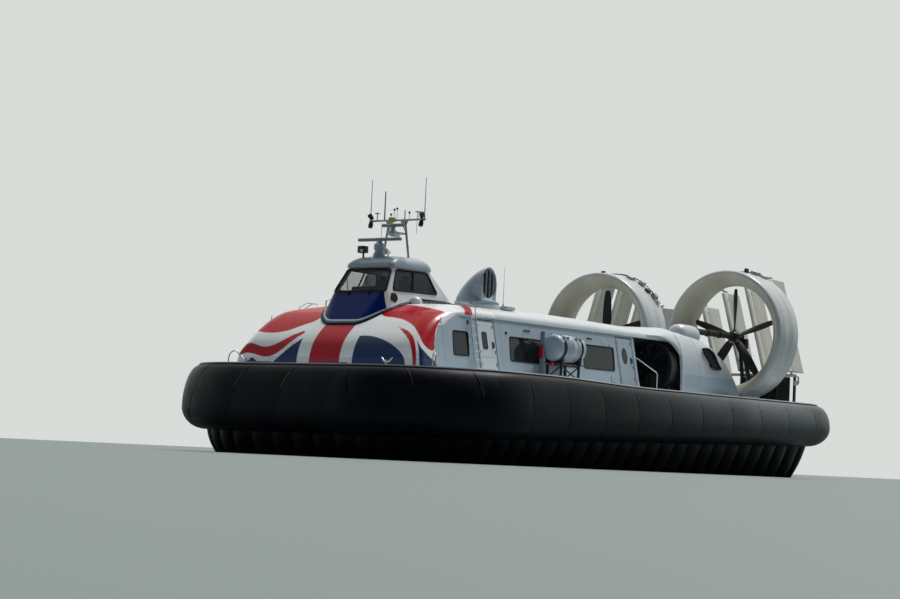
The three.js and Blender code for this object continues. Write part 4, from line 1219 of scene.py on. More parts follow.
def makeFanBays():
    # Lift fan: guard rings, centre body and curved blades, seen through the open arch
    wheel = Shape()
    hub = Vector((fan["x"], fan["y"], fan["z"]))
    wheel.lathe([(-0.16, 0), (-0.16, 0.20), (-0.10, 0.23), (0.06, 0.23), (0.13, 0.19), (0.16, 0.08),
                 (0.16, 0)], hub, forward, 36, "black")
    for swing in angles(fan["blades"]):
        turn = Matrix.Rotation(swing, 3, "X")
        loops = []
        for radius, chord, pitch in ((0.2, 0.17, 0.85), (0.45, 0.19, 0.62), (0.76, 0.20, 0.45)):
            loop = []
            for bend in angles(12):
                along = chord / 2 * math.cos(bend)
                loop.append(hub + turn @ Vector((along * math.sin(pitch) + 0.012 * math.sin(bend),
                                                 along * math.cos(pitch), radius)))
            loops.append(loop)
        wheel.loft(loops, "black")
    bothSides(wheel, "lift_fan_wheel", "lift_fan", "black_paint", ["lift_fan"])
    bay = Shape()

    def onGuard(radius, turn):
        return (fan["guard"], hub.y + radius * math.cos(turn), hub.z + radius * math.sin(turn))

    bay.lathe([(0, 0.80), (0.02, 0.86), (0.0, 0.93), (-0.35, 0.93), (-0.35, 0.80)], (-3.86, hub.y, hub.z),
              forward, 48, "black", ring=True)
    for radius in (0.28, 0.45, 0.62, 0.79):
        bay.tube([onGuard(radius, turn) for turn in angles(40)], 0.008, 6, "black", ring=True)
    for turn in angles(8):
        bay.rod(onGuard(0.26, turn), onGuard(0.84, turn), 0.012, 8, "black")
    for across in (-0.75, 0.6):
        bay.box((-4.24, hub.y + across, deckFace), (-3.98, hub.y + across + 0.14, 2.95), "black", 0.02)
    bay.tube([(-2.3, 1.1, 2.75), (-2.3, 1.1, 4.0), (-3.6, 1.1, 4.15)], 0.05, 10, "black")
    bothSides(bay, "fan_bay_fittings", slot="black_paint")


makeCowl()
makeFanBays()
print("cowls made")

# Mast: place along the craft, and the half spread of its feet, its head and the long whips
mast = {"x": 6.75, "foot": 0.52, "head": 0.32, "whip": 1.09, "yard": 7.49}
lampFinish = ["chrome", "chrome", "chrome", "lamp", "lamp"]

# Wheelhouse: rings of [height, front x, aft x, front half width, aft half width, corner radius]
houseRings = [(3.90, 9.26, 4.958, 1.474, 1.443, 1.05), (5.08, 8.47, 5.56, 1.12, 1.29, 0.26),
              (5.88, 7.98, 6.23, 0.90, 1.01, 0.15)]
house = {"wall": 0.05, "foot": 3.90, "sill": 5.08, "glass": (-0.03, -0.018),
         "screen": [(1.03, 5.11), (0.86, 5.83), (-0.86, 5.83), (-1.03, 5.11)],
         "side": [(8.13, 5.17), (6.12, 5.19), (6.42, 5.83), (7.80, 5.83)],
         "hatch": [(8.32, 4.86), (8.14, 4.78), (7.98, 4.90), (8.02, 5.06), (8.24, 5.08)],
         "slot": [(5.72, 4.87), (7.12, 4.87), (7.12, 5.0), (5.72, 5.0)]}


def houseRing(z):
    low, high = houseRings[:2] if z < houseRings[1][0] else houseRings[1:]
    t = (z - low[0]) / (high[0] - low[0])
    return [a + (b - a) * t for a, b in zip(low, high)]


def houseLoop(z, lift=0.0):
    # Points round the wheelhouse from the middle of the front over port, with rounded front corners
    _, front, aft, frontHalf, aftHalf, radius = houseRing(z)
    radius = min(radius, frontHalf - 0.05)
    half = [(front + lift, (frontHalf - radius) * k / 8) for k in range(8)]
    for k in range(13):
        turn = math.pi / 2 * k / 12
        half.append((front - radius + (radius + lift) * math.cos(turn),
                     frontHalf - radius + (radius + lift) * math.sin(turn)))
    x0, y0 = half[-1]
    half += [(x0 + (aft + 0.06 - x0) * k / 12, y0 + (aftHalf + lift - y0) * k / 12) for k in range(1, 13)]
    half += [(aft + 0.02 - lift, aftHalf - 0.02 + lift), (aft - lift, aftHalf - 0.06 + lift)]
    half += [(aft - lift, (aftHalf - 0.06) * (1 - k / 4)) for k in range(1, 5)]
    return wholeLoop(half, z)


def wholeLoop(half, z):  # from one half of a level outline to all of it
    return [Vector((x, y, z)) for x, y in half] + [Vector((x, -y, z)) for x, y in reversed(half[1:-1])]


def closedForm(loops):
    shape = Shape()
    shape.loft(loops)
    mesh = bpy.data.meshes.new("cutting_form")
    mesh.from_pydata(shape.points, [], shape.faces)
    faceOutward(mesh)
    return placed("cutting_form", mesh)


def cutAway(piece, others):
    for other in others:
        knife = piece.modifiers.new("cut", "BOOLEAN")
        knife.operation, knife.solver, knife.object = "DIFFERENCE", "EXACT", other
    bpy.context.view_layer.update()
    mesh = bpy.data.meshes.new_from_object(piece.evaluated_get(bpy.context.evaluated_depsgraph_get()))
    piece.modifiers.clear()
    piece.data = mesh
    faceOutward(mesh)
    for other in others:
        bpy.data.objects.remove(other)


def frontPoint(y, z, lift=0.0):
    _, front, _, half, _, radius = houseRing(z)
    past = min(radius, max(0, abs(y) - half + radius))
    return Vector((front - radius + math.sqrt(radius ** 2 - past ** 2) + lift, y, z))


def sidePoint(x, z, lift=0.0):
    ring = houseRing(z)
    start, end = ring[1] - ring[5], ring[2]
    share = min(1, max(0, (start - x) / (start - end)))
    return Vector((x, ring[3] + (ring[4] - ring[3]) * share + lift, z))


def onSide(outline, lift, side):  # an outline of (x, height) laid on one side of the wheelhouse
    return [sidePoint(x, z, lift) * Vector((1, side, 1)) for x, z in outline]


def setFinish(mesh, finish):
    mesh.materials.clear()
    mesh.materials.append(paints[finish].material)


def makeWheelhouse():
    heights = [house["foot"] + 1.18 * k / 10 for k in range(10)]
    heights += [house["sill"] + 0.82 * k / 8 for k in range(9)]
    shell = closedForm([houseLoop(z) for z in heights])
    inner = closedForm([houseLoop(z, -house["wall"]) for z in [3.7] + heights + [6.2]])
    screen, window = softCorners(house["screen"], 0.10), softCorners(house["side"], 0.09)
    cuts = [closedForm([[Vector((x, y, z)) for y, z in screen] for x in (7.2, 9.0)])]
    for side in (1, -1):
        cuts.append(closedForm([[Vector((x, side * y, z)) for x, z in window] for y in (0.8, 1.6)]))
    cutAway(shell, [inner] + cuts)
    shell.name, shell.data.name = "wheelhouse_skin", "wheelhouse_skin"
    setFinish(shell.data, "house")
    smoothFaces(shell.data, 32)
    settle(shell, replaces=["wheelhouse_shell"])

    trim = Shape()
    trim.tube([frontPoint(y, z, 0.006) for y, z in screen], 0.034, 8, "rubber", ring=True)
    for side in (1, -1):
        trim.tube(onSide(window, 0.004, side), 0.032, 8, "rubber", ring=True)
        trim.tube(onSide(((7.25, 5.18), (7.14, 5.50), (7.05, 5.83)), 0.004, side), 0.028, 8, "rubber")
        # Five-sided hatch between the windscreen and the side window, low on the corner
        hatch = softCorners(house["hatch"], 0.05)
        trim.loft([onSide(hatch, lift, side) for lift in (-0.02, 0.014)], "rubber")
    # Wipers: an arm and a blade for each half of the windscreen
    for across, swing in ((0.45, 0.35), (-0.35, 0.35)):
        pivot, tip = frontPoint(across, 5.06, 0.05), frontPoint(across - swing, 5.56, 0.05)
        trim.rod(pivot, tip, 0.012, 8, "rubber")
        trim.rod(tip + Vector((-0.09, 0.1, 0.22)), tip + Vector((0.12, -0.05, -0.26)), 0.011, 8, "rubber")
        trim.rod(pivot - forward * 0.06, pivot + forward * 0.02, 0.03, 12, "rubber")
    trim.piece("wheelhouse_trim", slot="black_paint")
    panes = Shape()
    panes.loft([[frontPoint(y, z, lift) for y, z in screen] for lift in house["glass"]], "clearGlass")
    for side in (1, -1):
        panes.loft([onSide(window, lift, side) for lift in house["glass"]], "clearGlass")
    panes.piece("wheelhouse_panes", slot="clear_glass", replaces=["wheelhouse_glass"])

    # Rounded brow and roof over the glass, with the scanner's seat
    top = Shape()
    rings = [(5.8803, 8.00, 6.21, 0.92, 1.03, 0.15), (5.90, 8.045, 6.19, 0.945, 1.052, 0.17),
             (5.96, 8.045, 6.20, 0.945, 1.05, 0.18), (6.04, 8.01, 6.225, 0.93, 1.035, 0.2),
             (6.12, 7.93, 6.29, 0.88, 0.985, 0.24), (6.19, 7.83, 6.37, 0.81, 0.915, 0.28),
             (6.245, 7.70, 6.47, 0.74, 0.83, 0.32), (6.28, 7.54, 6.60, 0.63, 0.70, 0.36),
             (6.297, 7.36, 6.73, 0.50, 0.55, 0.36)]
    loops = []
    for z, front, aft, frontHalf, aftHalf, radius in rings:
        half = [(front, (frontHalf - radius) * k / 6) for k in range(6)]
        half += [(front - radius + radius * math.cos(math.pi / 2 * k / 10),
                  frontHalf - radius + radius * math.sin(math.pi / 2 * k / 10)) for k in range(11)]
        x0, y0 = half[-1]
        x1, soft = aft + 0.1, 0.1  # reach of the soft corner aft
        half += [(x0 + (x1 - x0) * k / 8, y0 + (aftHalf - y0) * k / 8) for k in range(1, 9)]
        half += [(x1 - soft * math.sin(turn), aftHalf - soft + soft * math.cos(turn))
                 for turn in (0.5, 1.0, math.pi / 2)]
        half += [(aft, (aftHalf - soft) * (1 - k / 4)) for k in range(1, 5)]
        loops.append(wholeLoop(half, z))
    top.loft(loops, "shadow")
    top.lathe([(0, 0.25), (0.0, 0.25), (0.02, 0.21), (0.14, 0.19), (0.22, 0.19), (0.22, 0)], (7.56, 0, 6.10),
              upward, 32, "shadow")
    for side in (1, -1):
        top.lathe([(0, 0.0), (0, 0.09), (0.035, 0.09), (0.05, 0.06), (0.09, 0.05), (0.09, 0)],
                  (mast["x"], side * mast["foot"], 6.22), upward, 16, "shadow")
    top.piece("wheelhouse_top", slot="white_paint", replaces=["wheelhouse_roof"])


def makeHouseSeam():
    # Where the wheelhouse meets the nose and the roof: a grey band, a rubber seam and small clips
    trees = []
    for name in ("nose_skin", "roof_skin"):
        mesh = bpy.data.objects[name].data
        trees.append(BVHTree.FromPolygons([vert.co[:] for vert in mesh.vertices],
                                          [tuple(face.vertices) for face in mesh.polygons]))
    path = []  # places on the seam, each with the direction away from the wheelhouse
    for top, foot in zip(houseLoop(house["sill"]), houseLoop(house["foot"])):
        hits = [tree.ray_cast(top, (foot - top).normalized(), 3) for tree in trees]
        hits = [hit for hit in hits if hit[0]]
        if hits:
            at, normal = max(hits, key=lambda found: found[0].z)[:2]
            out = Vector((at.x - 6.9, at.y, 0))
            path.append((at, (out - normal * out.dot(normal)).normalized()))
    band, seam = Shape(), Shape()
    section = ((0.075, 0.012), (0.075, -0.05), (-0.05, -0.05), (-0.05, 0.012))
    rows = [[at + upward * high + out * reach for high, reach in section] for at, out in path]
    band.loft(rows, "raft", ring=True)
    seam.tube([at + out * 0.05 for at, out in path], 0.045, 10, "rubber", ring=True)
    for k in range(0, len(path), 3):
        at, out = path[k]
        if out.x > -0.2 or k % 2:
            seam.box((-0.03, -0.018, -0.03), (0.03, 0.018, 0.05), "rubber", 0.006,
                     lambda p: at + out * (0.075 + p.x) + out.cross(upward) * p.y + upward * p.z)
    band.piece("wheelhouse_band", slot="white_paint")
    seam.piece("wheelhouse_seam", slot="black_paint")


seat = {"rows": 7, "fore": 6.0, "places": 5, "aisle": 0.46, "pitch": 0.488, "wide": 0.47, "crown": 0.03}


def cushion(shape, low, high):
    low, high = Vector(low), Vector(high)
    form = bmesh.new()
    bmesh.ops.create_cube(form, size=1)
    bmesh.ops.scale(form, vec=high - low, verts=form.verts)
    bmesh.ops.bevel(form, geom=form.edges[:], offset=min(high - low) * 0.32, segments=3, profile=0.5,
                    affect="EDGES")
    long = [edge for edge in form.edges if edge.calc_length() > 0.2]
    bmesh.ops.subdivide_edges(form, edges=long, cuts=1, use_grid_fill=True)
    half = (high - low) / 2
    for vert in form.verts:
        fullness = max(0, 1 - (vert.co.x / half.x) ** 2) * max(0, 1 - (vert.co.y / half.y) ** 2)
        if half.z < half.x:
            vert.co.z += math.copysign(seat["crown"] * fullness, vert.co.z)
    middle = (low + high) / 2
    shape.addForm(form, lambda at: at + middle, "cloth")


def makeSeats():
    rows, frames = Shape(), Shape()
    for row in range(seat["rows"]):
        x = seat["fore"] - row
        for side in (1, -1):
            for place in range(seat["places"]):
                near = seat["aisle"] + seat["pitch"] * place
                y0, y1 = sorted((side * near, side * (near + seat["wide"])))
                cushion(rows, (x - 0.44, y0, 2.92), (x, y1, 3.08))
                cushion(rows, (x - 0.565, y0 + 0.01, 3.0), (x - 0.445, y1 - 0.01, 3.52))
                cushion(rows, (x - 0.57, y0 + 0.08, 3.50), (x - 0.47, y1 - 0.08, 3.66))
            frames.box((x - 0.40, side * 0.5, 2.86), (x - 0.06, side * 2.88, 2.92), "steel", 0.006)
            for y in (0.7, 1.7, 2.7):
                frames.box((x - 0.35, side * y - 0.03, 2.70), (x - 0.12, side * y + 0.03, 2.87), "steel",
                           0.006)
    piece = rows.piece("passenger_seat_cushions", slot="seat_cloth", replaces=["passenger_seats"], sharp=70)
    frames.box((-0.7, -3.0, deckFace), (6.3, 3.0, 2.72), "deck", 0.01)
    frames.piece("passenger_seat_frames", slot="bare_metal")
    crew, desk = Shape(), Shape()
    desk.loft([houseLoop(z, -0.0755) for z in (4.99, 5.03)], "black")
    desk.box((7.62, -0.80, 4.99), (7.88, 0.80, 5.32), "black", 0.05)
    for y in (-0.5, -0.1, 0.3):
        desk.box((7.58, y, 5.24), (7.74, y + 0.28, 5.35), "darkGlass", 0.01)
    for side in (1, -1):
        y = side * 0.45
        cushion(crew, (6.80, y - 0.23, 5.16), (7.25, y + 0.23, 5.26))
        cushion(crew, (6.70, y - 0.22, 5.24), (6.81, y + 0.22, 5.62))
        cushion(crew, (6.71, y - 0.13, 5.60), (6.79, y + 0.13, 5.72))
        desk.rod((7.02, y, 5.0), (7.02, y, 5.17), 0.06, 16, "steel")
        desk.box((6.85, y - 0.18, 5.13), (7.2, y + 0.18, 5.165), "black", 0.01)
    seats = crew.piece("crew_seat_cushions", slot="seat_cloth", sharp=70)
    desk.piece("wheelhouse_floor_and_desk", slot="black_paint", replaces=["crew_seats"])


def makeMast():
    shape = Shape()
    x, foot, head, yard = mast["x"], mast["foot"], mast["head"], mast["yard"]

    def upright(y, low, high, radius, steps, paint="steel", endRadius=None):
        shape.rod((x, y, low), (x, y, high), radius, steps, paint, endRadius)

    for side in (1, -1):
        shape.rod((x, side * foot, 6.30), (x, side * head, 7.47), 0.038, 14, "steel")
        upright(side * mast["whip"], 7.45, 7.62, 0.022, 10)
        upright(side * mast["whip"], 7.62, 8.80, 0.017, 8, "ductOut", 0.011)
        for lampZ, across, axis in ((7.36, 1.02, (0.25, 0, -1)), (7.62, 1.03, (0.4, side * 0.3, 0.6))):
            shape.lathe([(-0.10, 0), (-0.10, 0.055), (-0.02, 0.075), (0.08, 0.075), (0.10, 0.05), (0.10, 0)],
                        (x + 0.07, side * across, lampZ), axis, 16, "black")
        upright(side * 0.82, yard, 7.72, 0.016, 8)
        shape.lathe([(0, 0.03), (0.01, 0.09), (0.03, 0.09), (0.05, 0.03), (0.05, 0)], (x, side * 0.82, 7.71),
                    upward, 16, "steel")
        gusset = ((-0.15, yard), (0.15, yard), (0.03, 7.28), (-0.03, 7.28))
        shape.loft([[(x + half, side * (head + across), z) for across, z in gusset]
                    for half in (-0.012, 0.012)], "steel")
        shape.rod((x, side * 0.39, 7.06), (x, side * 0.14, yard), 0.018, 8, "steel")
    shape.rod((x, -1.13, yard), (x, 1.13, yard), 0.032, 14, "steel")
    upright(-0.52, 7.50, 8.42, 0.026, 10, "steel", 0.020)
    upright(0.30, yard, 7.80, 0.018, 8)
    upright(-0.62, 6.95, 7.42, 0.007, 6, "black")
    upright(0.80, 7.05, 7.45, 0.007, 6, "black")
    shape.box((x - 0.06, -0.30, 7.44), (x + 0.08, -0.10, 7.58), "yellow", 0.01)
    for y, z in ((-0.26, 7.68), (-0.13, 7.83), (-0.02, 7.86), (0.48, 7.72)):
        upright(y, yard, z, 0.008, 8)
        shape.ball((x, y, z), (0.036, 0.036, 0.04), "black", 14, 8)
    shape.box((x - 0.06, 0.13, 7.04), (7.35, 0.37, 7.08), "steel", 0.006)
    shape.box((x - 0.03, -0.42, 7.03), (x + 0.03, 0.42, 7.08), "steel", 0.006)
    shape.box((x - 0.10, -0.30, 7.08), (x + 0.10, -0.08, 7.20), "white", 0.02)
    shape.lathe([(0, 0.09), (0.02, 0.09), (0.04, 0.07), (0.10, 0.07), (0.11, 0)], (7.25, 0.25, 7.06), upward,
                20, "steel")
    shape.box((7.0, 0.16, 6.92), (7.3, 0.34, 7.04), "white", 0.02)
    shape.rod((6.9, 0.62, 6.24), (6.9, 0.62, 6.62), 0.016, 8, "steel")
    # Floodlights and horn boxes on the roof ahead of the mast
    shape.box((7.62, -0.66, 6.37), (7.84, -0.38, 6.59), "black", 0.03)
    shape.box((7.835, -0.55, 6.40), (7.85, -0.41, 6.48), "lamp", 0.006)
    shape.rod((7.72, -0.5, 6.20), (7.72, -0.5, 6.40), 0.03, 10, "black")
    shape.rod((7.62, 0.42, 6.20), (7.62, 0.42, 6.34), 0.02, 10, "steel")
    shape.lathe([(-0.10, 0), (-0.10, 0.06), (0.02, 0.09), (0.08, 0.10), (0.09, 0.0)], (7.68, 0.42, 6.40),
                forward, 20, lampFinish)
    shape.piece("mast_frame", slot="bare_metal", replaces=["mast"])
    for name, at, drum, radius, half in (("radar_fore", (7.56, 0, 6.3203), 0.44, 0.17, 0.85),
                                         ("radar_aft", (7.25, 0.25, 7.1703), 0.06, 0.09, 0.42)):
        scanner = Shape()
        top = at[2] + drum
        if drum > 0.1:
            profile = [(0, 0), (0, radius), (0.05, radius), (0.08, radius * 0.82), (0.14, radius * 0.8),
                       (0.18, radius), (0.32, radius), (drum - 0.05, radius * 0.5), (drum, radius * 0.36),
                       (drum, 0)]
        else:
            profile = [(0, 0), (0, radius), (drum, radius * 0.8), (drum, 0)]
        scanner.lathe(profile, at, upward, 28, "raft")
        section = [(-0.06, 0.0), (-0.05, 0.07), (-0.02, 0.09), (0.03, 0.09), (0.06, 0.06), (0.06, 0.0),
                   (0.03, -0.01), (-0.04, -0.01)]
        loops = []
        for share in (-1, -0.985, -0.9, -0.3, -0.28, 0.28, 0.3, 0.9, 0.985, 1):
            full = 0.75 if abs(share) == 1 else 1.0 if abs(share) > 0.28 else 1.05
            loops.append([(at[0] + sx * full, at[1] + share * half, top + 0.04 + (sz - 0.04) * full)
                          for sx, sz in section])
        scanner.loft(loops, "scanner")
        scanner.piece(name + "_head", name, "white_paint", [name])


def makeThrusters():
    # Turning hoods with a rolled lip, vanes in the mouth and a swivel ring
    turn = Matrix.Rotation(thruster["facing"], 3, "Z")
    shape = Shape()
    at = Vector((thruster["x"], thruster["y"], thruster["ringTop"] + craft["gap"]))
    mouth, high = thruster["mouth"], thruster["height"]  # of the mouth's centre ahead of and above the swivel

    def elbow(inset, steps=22):
        loops = []
        for step in range(steps + 1):
            bend = math.pi / 2 * step / steps
            fore, up = math.cos(bend), math.sin(bend)
            radius = 0.68 + (0.53 - 0.68) * up - 0.10 * math.sin(2 * bend) - inset
            ahead, height = mouth * (1 - fore), 0.09 + 0.54 * up - (0.09 if step == 0 else 0)
            loops.append([at + turn @ Vector((ahead + radius * math.sin(a) * fore, radius * math.cos(a),
                                              height - radius * math.sin(a) * up)) for a in angles(40)])
        return loops

    shape.loft(elbow(0.0) + list(reversed(elbow(0.04))), "shadow", ring=True)
    centre = at + turn @ Vector((mouth, 0, high))
    facing, side = turn @ forward, turn @ Vector((0, 1, 0))
    lip = [centre + (side * math.cos(a) + upward * math.sin(a)) * 0.512 for a in angles(48)]
    shape.tube(lip, 0.034, 10, "shadow", ring=True)
    for k in range(-3, 4):
        across = k * 0.125
        reach = math.sqrt(0.43 ** 2 - across ** 2)
        shape.box((-0.14, -0.008, -reach), (0.02, 0.008, reach), "steel" if k % 2 else "black", 0.002,
                  lambda p: centre + facing * (p.x - 0.02) + side * (p.y + across + (p.x + 0.06) * 0.3)
                  + upward * p.z)
    shape.rod(centre - side * 0.46 - facing * 0.05, centre + side * 0.46 - facing * 0.05, 0.02, 10, "black")
    shape.lathe([(-0.05, 0), (-0.05, 0.12), (0.0, 0.14), (0.04, 0.10), (0.05, 0)], centre - facing * 0.12,
                facing, 24, "black")
    # Apron that closes the space below the mouth
    apron = []
    flank = ((0.525, high), (0.52, 0.30), (0.50, 0.075))
    for ahead, pinch in ((0.12, 0.0), (mouth + 0.02, 0.0), (mouth + 0.035, 0.015)):
        outline = [(pinch - across, up) for across, up in flank]
        outline += [(across - pinch, up) for across, up in reversed(flank)]
        for k in range(1, 20):
            a = math.pi * k / 20
            outline.append((0.49 * math.cos(a), high - 0.49 * math.sin(a)))
        apron.append([at + turn @ Vector((ahead, across, up)) for across, up in outline])
    shape.loft(apron, "shadow")
    shape.lathe([(0.0, 0.60), (0.0, 0.70), (0.05, 0.705), (0.06, 0.68), (0.06, 0.60)], at, upward, 48, "raft",
                ring=True)
    bothSides(shape, "bow_thruster_hood", "bow_thruster", "white_paint", ["bow_thruster"])


makeWheelhouse()
makeHouseSeam()
makeSeats()
makeMast()
makeThrusters()
print("wheelhouse, mast, seats and thrusters made")

# Cabin sides: everything drawn flat as (x, height) and leaned onto the canted wall
sideSet = {
    "windows": ((7.42, 8.15, 3.22, 3.93), (3.55, 5.30, 3.21, 3.94), (1.55, 3.30, 3.22, 3.96),
                (-0.45, 1.30, 3.23, 3.98)),
    "doors": (("fore_door", 6.90, 6.05), ("aft_door", -0.73, -1.60)),  # name, hinge, free edge
    "doorLow": 2.70, "doorHigh": 4.33, "canister": (2.42, 3.88, 4.05, 3.72),
}


def onWall(x, z, out=0.0):
    cant = craft["wallCant"]
    return Vector((x, wallHalf(z) + out / math.cos(cant), z))


def wallPlate(shape, outline, near, far, paint):
    shape.loft([[onWall(x, z, depth) for x, z in outline] for depth in (near, far)], paint)


def wallFrame(shape, outline, wide, near, far, paint):
    middle = sum((Vector(point) for point in outline), Vector((0, 0))) / len(outline)
    rows = []
    for i, (x, z) in enumerate(outline):
        before, after = Vector(outline[i - 1]), Vector(outline[(i + 1) % len(outline)])
        run = (after - before).normalized()
        out = Vector((run.y, -run.x))
        out = out if out.dot(Vector((x, z)) - middle) > 0 else -out
        edge, inner = Vector((x, z)) + out * wide, Vector((x, z)) - out * wide * 0.6
        rows.append([onWall(*inner, near), onWall(*inner, far * 0.7), onWall(x, z, far),
                     onWall(*edge, far * 0.8), onWall(*edge, near)])
    shape.loft(rows, paint, ring=True)


def quad(x0, x1, z0, z1, rake=0.0):
    return [(x0 + rake, z0), (x1 + rake, z0), (x1 - rake, z1), (x0 - rake, z1)]


def softQuad(x, z, halfX, halfZ, radius):  # about its middle
    return softCorners(quad(x - halfX, x + halfX, z - halfZ, z + halfZ), radius)


def makeWindows():
    shape, glass = Shape(), Shape()
    for x0, x1, z0, z1 in sideSet["windows"]:
        rake = (z1 - z0) * 0.06
        outline = softCorners(quad(x0, x1, z0, z1, rake), 0.075)
        wallFrame(shape, outline, 0.024, -0.03, 0.012, "rubber")
        wallPlate(glass, outline, -0.03, -0.012, "darkGlass")
    for x0, x1 in ((7.18, 7.20), (5.72, 5.74), (1.42, 1.44), (-1.72, -1.70), (8.62, 8.64)):
        wallPlate(shape, quad(x0, x1, 2.66, 4.36), -0.01, 0.003, "side")
    wallPlate(shape, quad(-1.75, 8.9, 2.63, 2.68), -0.01, 0.012, "deck")
    # Painted shadow: a dark strip under the eave, where the roof's roll casts shade on the wall
    wallPlate(shape, quad(-1.75, 7.7, 4.385, 4.41), -0.01, 0.016, "scanner")
    # Small vents, lamps and scuppers along the wall
    for x, z, wide, high, kind in ((4.30, 4.20, 0.34, 0.05, "black"), (0.85, 4.20, 0.30, 0.05, "black"),
                                   (5.42, 4.05, 0.10, 0.07, "rubber"), (0.05, 4.15, 0.12, 0.08, "lamp"),
                                   (-0.35, 4.05, 0.10, 0.10, "steel"), (7.32, 4.24, 0.10, 0.12, "black"),
                                   (2.45, 3.02, 0.22, 0.12, "steel"), (-0.30, 2.95, 0.30, 0.20, "side")):
        wallPlate(shape, softQuad(x, z, wide / 2, high / 2, 0.015), -0.01, 0.018, kind)
    bothSides(shape, "cabin_side_trim", slot="black_paint")
    bothSides(glass, "cabin_side_panes", slot="dark_glass")


def makeDoors():
    low, high = sideSet["doorLow"], sideSet["doorHigh"]
    for name, hinge, free in sideSet["doors"]:
        # Frame fixed to the wall, and for the aft door the step under its sill and a handrail
        fixed = Shape()
        frame = softCorners(quad(free - 0.035, hinge + 0.035, low - 0.035, high + 0.035), 0.05)
        wallFrame(fixed, frame, 0.014, -0.01, 0.003, "rubber")
        if name == "aft_door":
            fixed.box((-1.70, 3.86, deckFace), (-0.48, 4.14, 2.685), "black", 0.015)
            fixed.tube([onWall(-1.70, 3.72, 0.03), onWall(-1.73, 3.72, 0.10), (-2.35, 3.98, 3.30),
                        (-2.38, 4.0, 3.22), (-2.38, 4.0, 2.62)], 0.021, 10, "chrome")
            mid, finish = free + (hinge - free) * 0.56, "side"
            pane = [(mid + 0.12 * math.cos(a), 3.76 + 0.24 * math.sin(a)) for a in angles(28)]
        else:
            mid, finish = free + (hinge - free) * 0.62, "leaf"
            pane = softQuad(mid, 3.74, 0.105, 0.24, 0.045)
        bothSides(fixed, f"{name}_frame", slot="side_paint")
        leaf = Shape()
        plate = softCorners(quad(free + 0.025, hinge - 0.025, low + 0.03, high - 0.03), 0.05)
        wallPlate(leaf, plate, -0.004, 0.010, finish)
        wallFrame(leaf, pane, 0.022, 0.0, 0.022, "rubber")
        wallPlate(leaf, pane, 0.0, 0.014, "darkGlass")
        # Handle on its plate, hinges and catches
        at = free + 0.13
        wallPlate(leaf, softQuad(at, 3.62, 0.045, 0.10, 0.02), 0.0, 0.02, "black")
        leaf.tube([onWall(at, z, out) for z, out in ((3.69, 0.0), (3.68, 0.055), (3.56, 0.055), (3.55, 0.0))],
                  0.013, 8, "rubber")
        for z in (3.02, 3.40, 4.18):
            wallPlate(leaf, softQuad(hinge - 0.075, z, 0.035, 0.035, 0.012), 0.0, 0.016, "steel")
            wallPlate(leaf, softQuad(free + 0.065, z, 0.02, 0.05, 0.012), 0.0, 0.016, "black")
        wallPlate(leaf, quad(free + 0.08, hinge - 0.08, 3.24, 3.255), 0.0, 0.014, "side")
        bothSides(leaf, f"{name}_leaf", name, "side_paint")


def makeLadder():
    # Ladder beside the fore door, up the wall and over the roof's edge
    shape = Shape()
    for x in (7.03, 7.30):
        shape.tube([onWall(x, 2.72, 0.0), onWall(x, 2.78, 0.10), onWall(x, 3.6, 0.10), onWall(x, 4.40, 0.12),
                    (x, 3.42, 4.72), (x, 3.1, 4.86), (x, 2.9, 4.84)], 0.016, 10, "ductOut")
    for k in range(7):
        z = 2.86 + k * 0.255
        shape.rod(onWall(7.03, z, 0.10), onWall(7.30, z, 0.10), 0.013, 8, "ductOut")
    bothSides(shape, "boarding_ladder", slot="bare_metal")


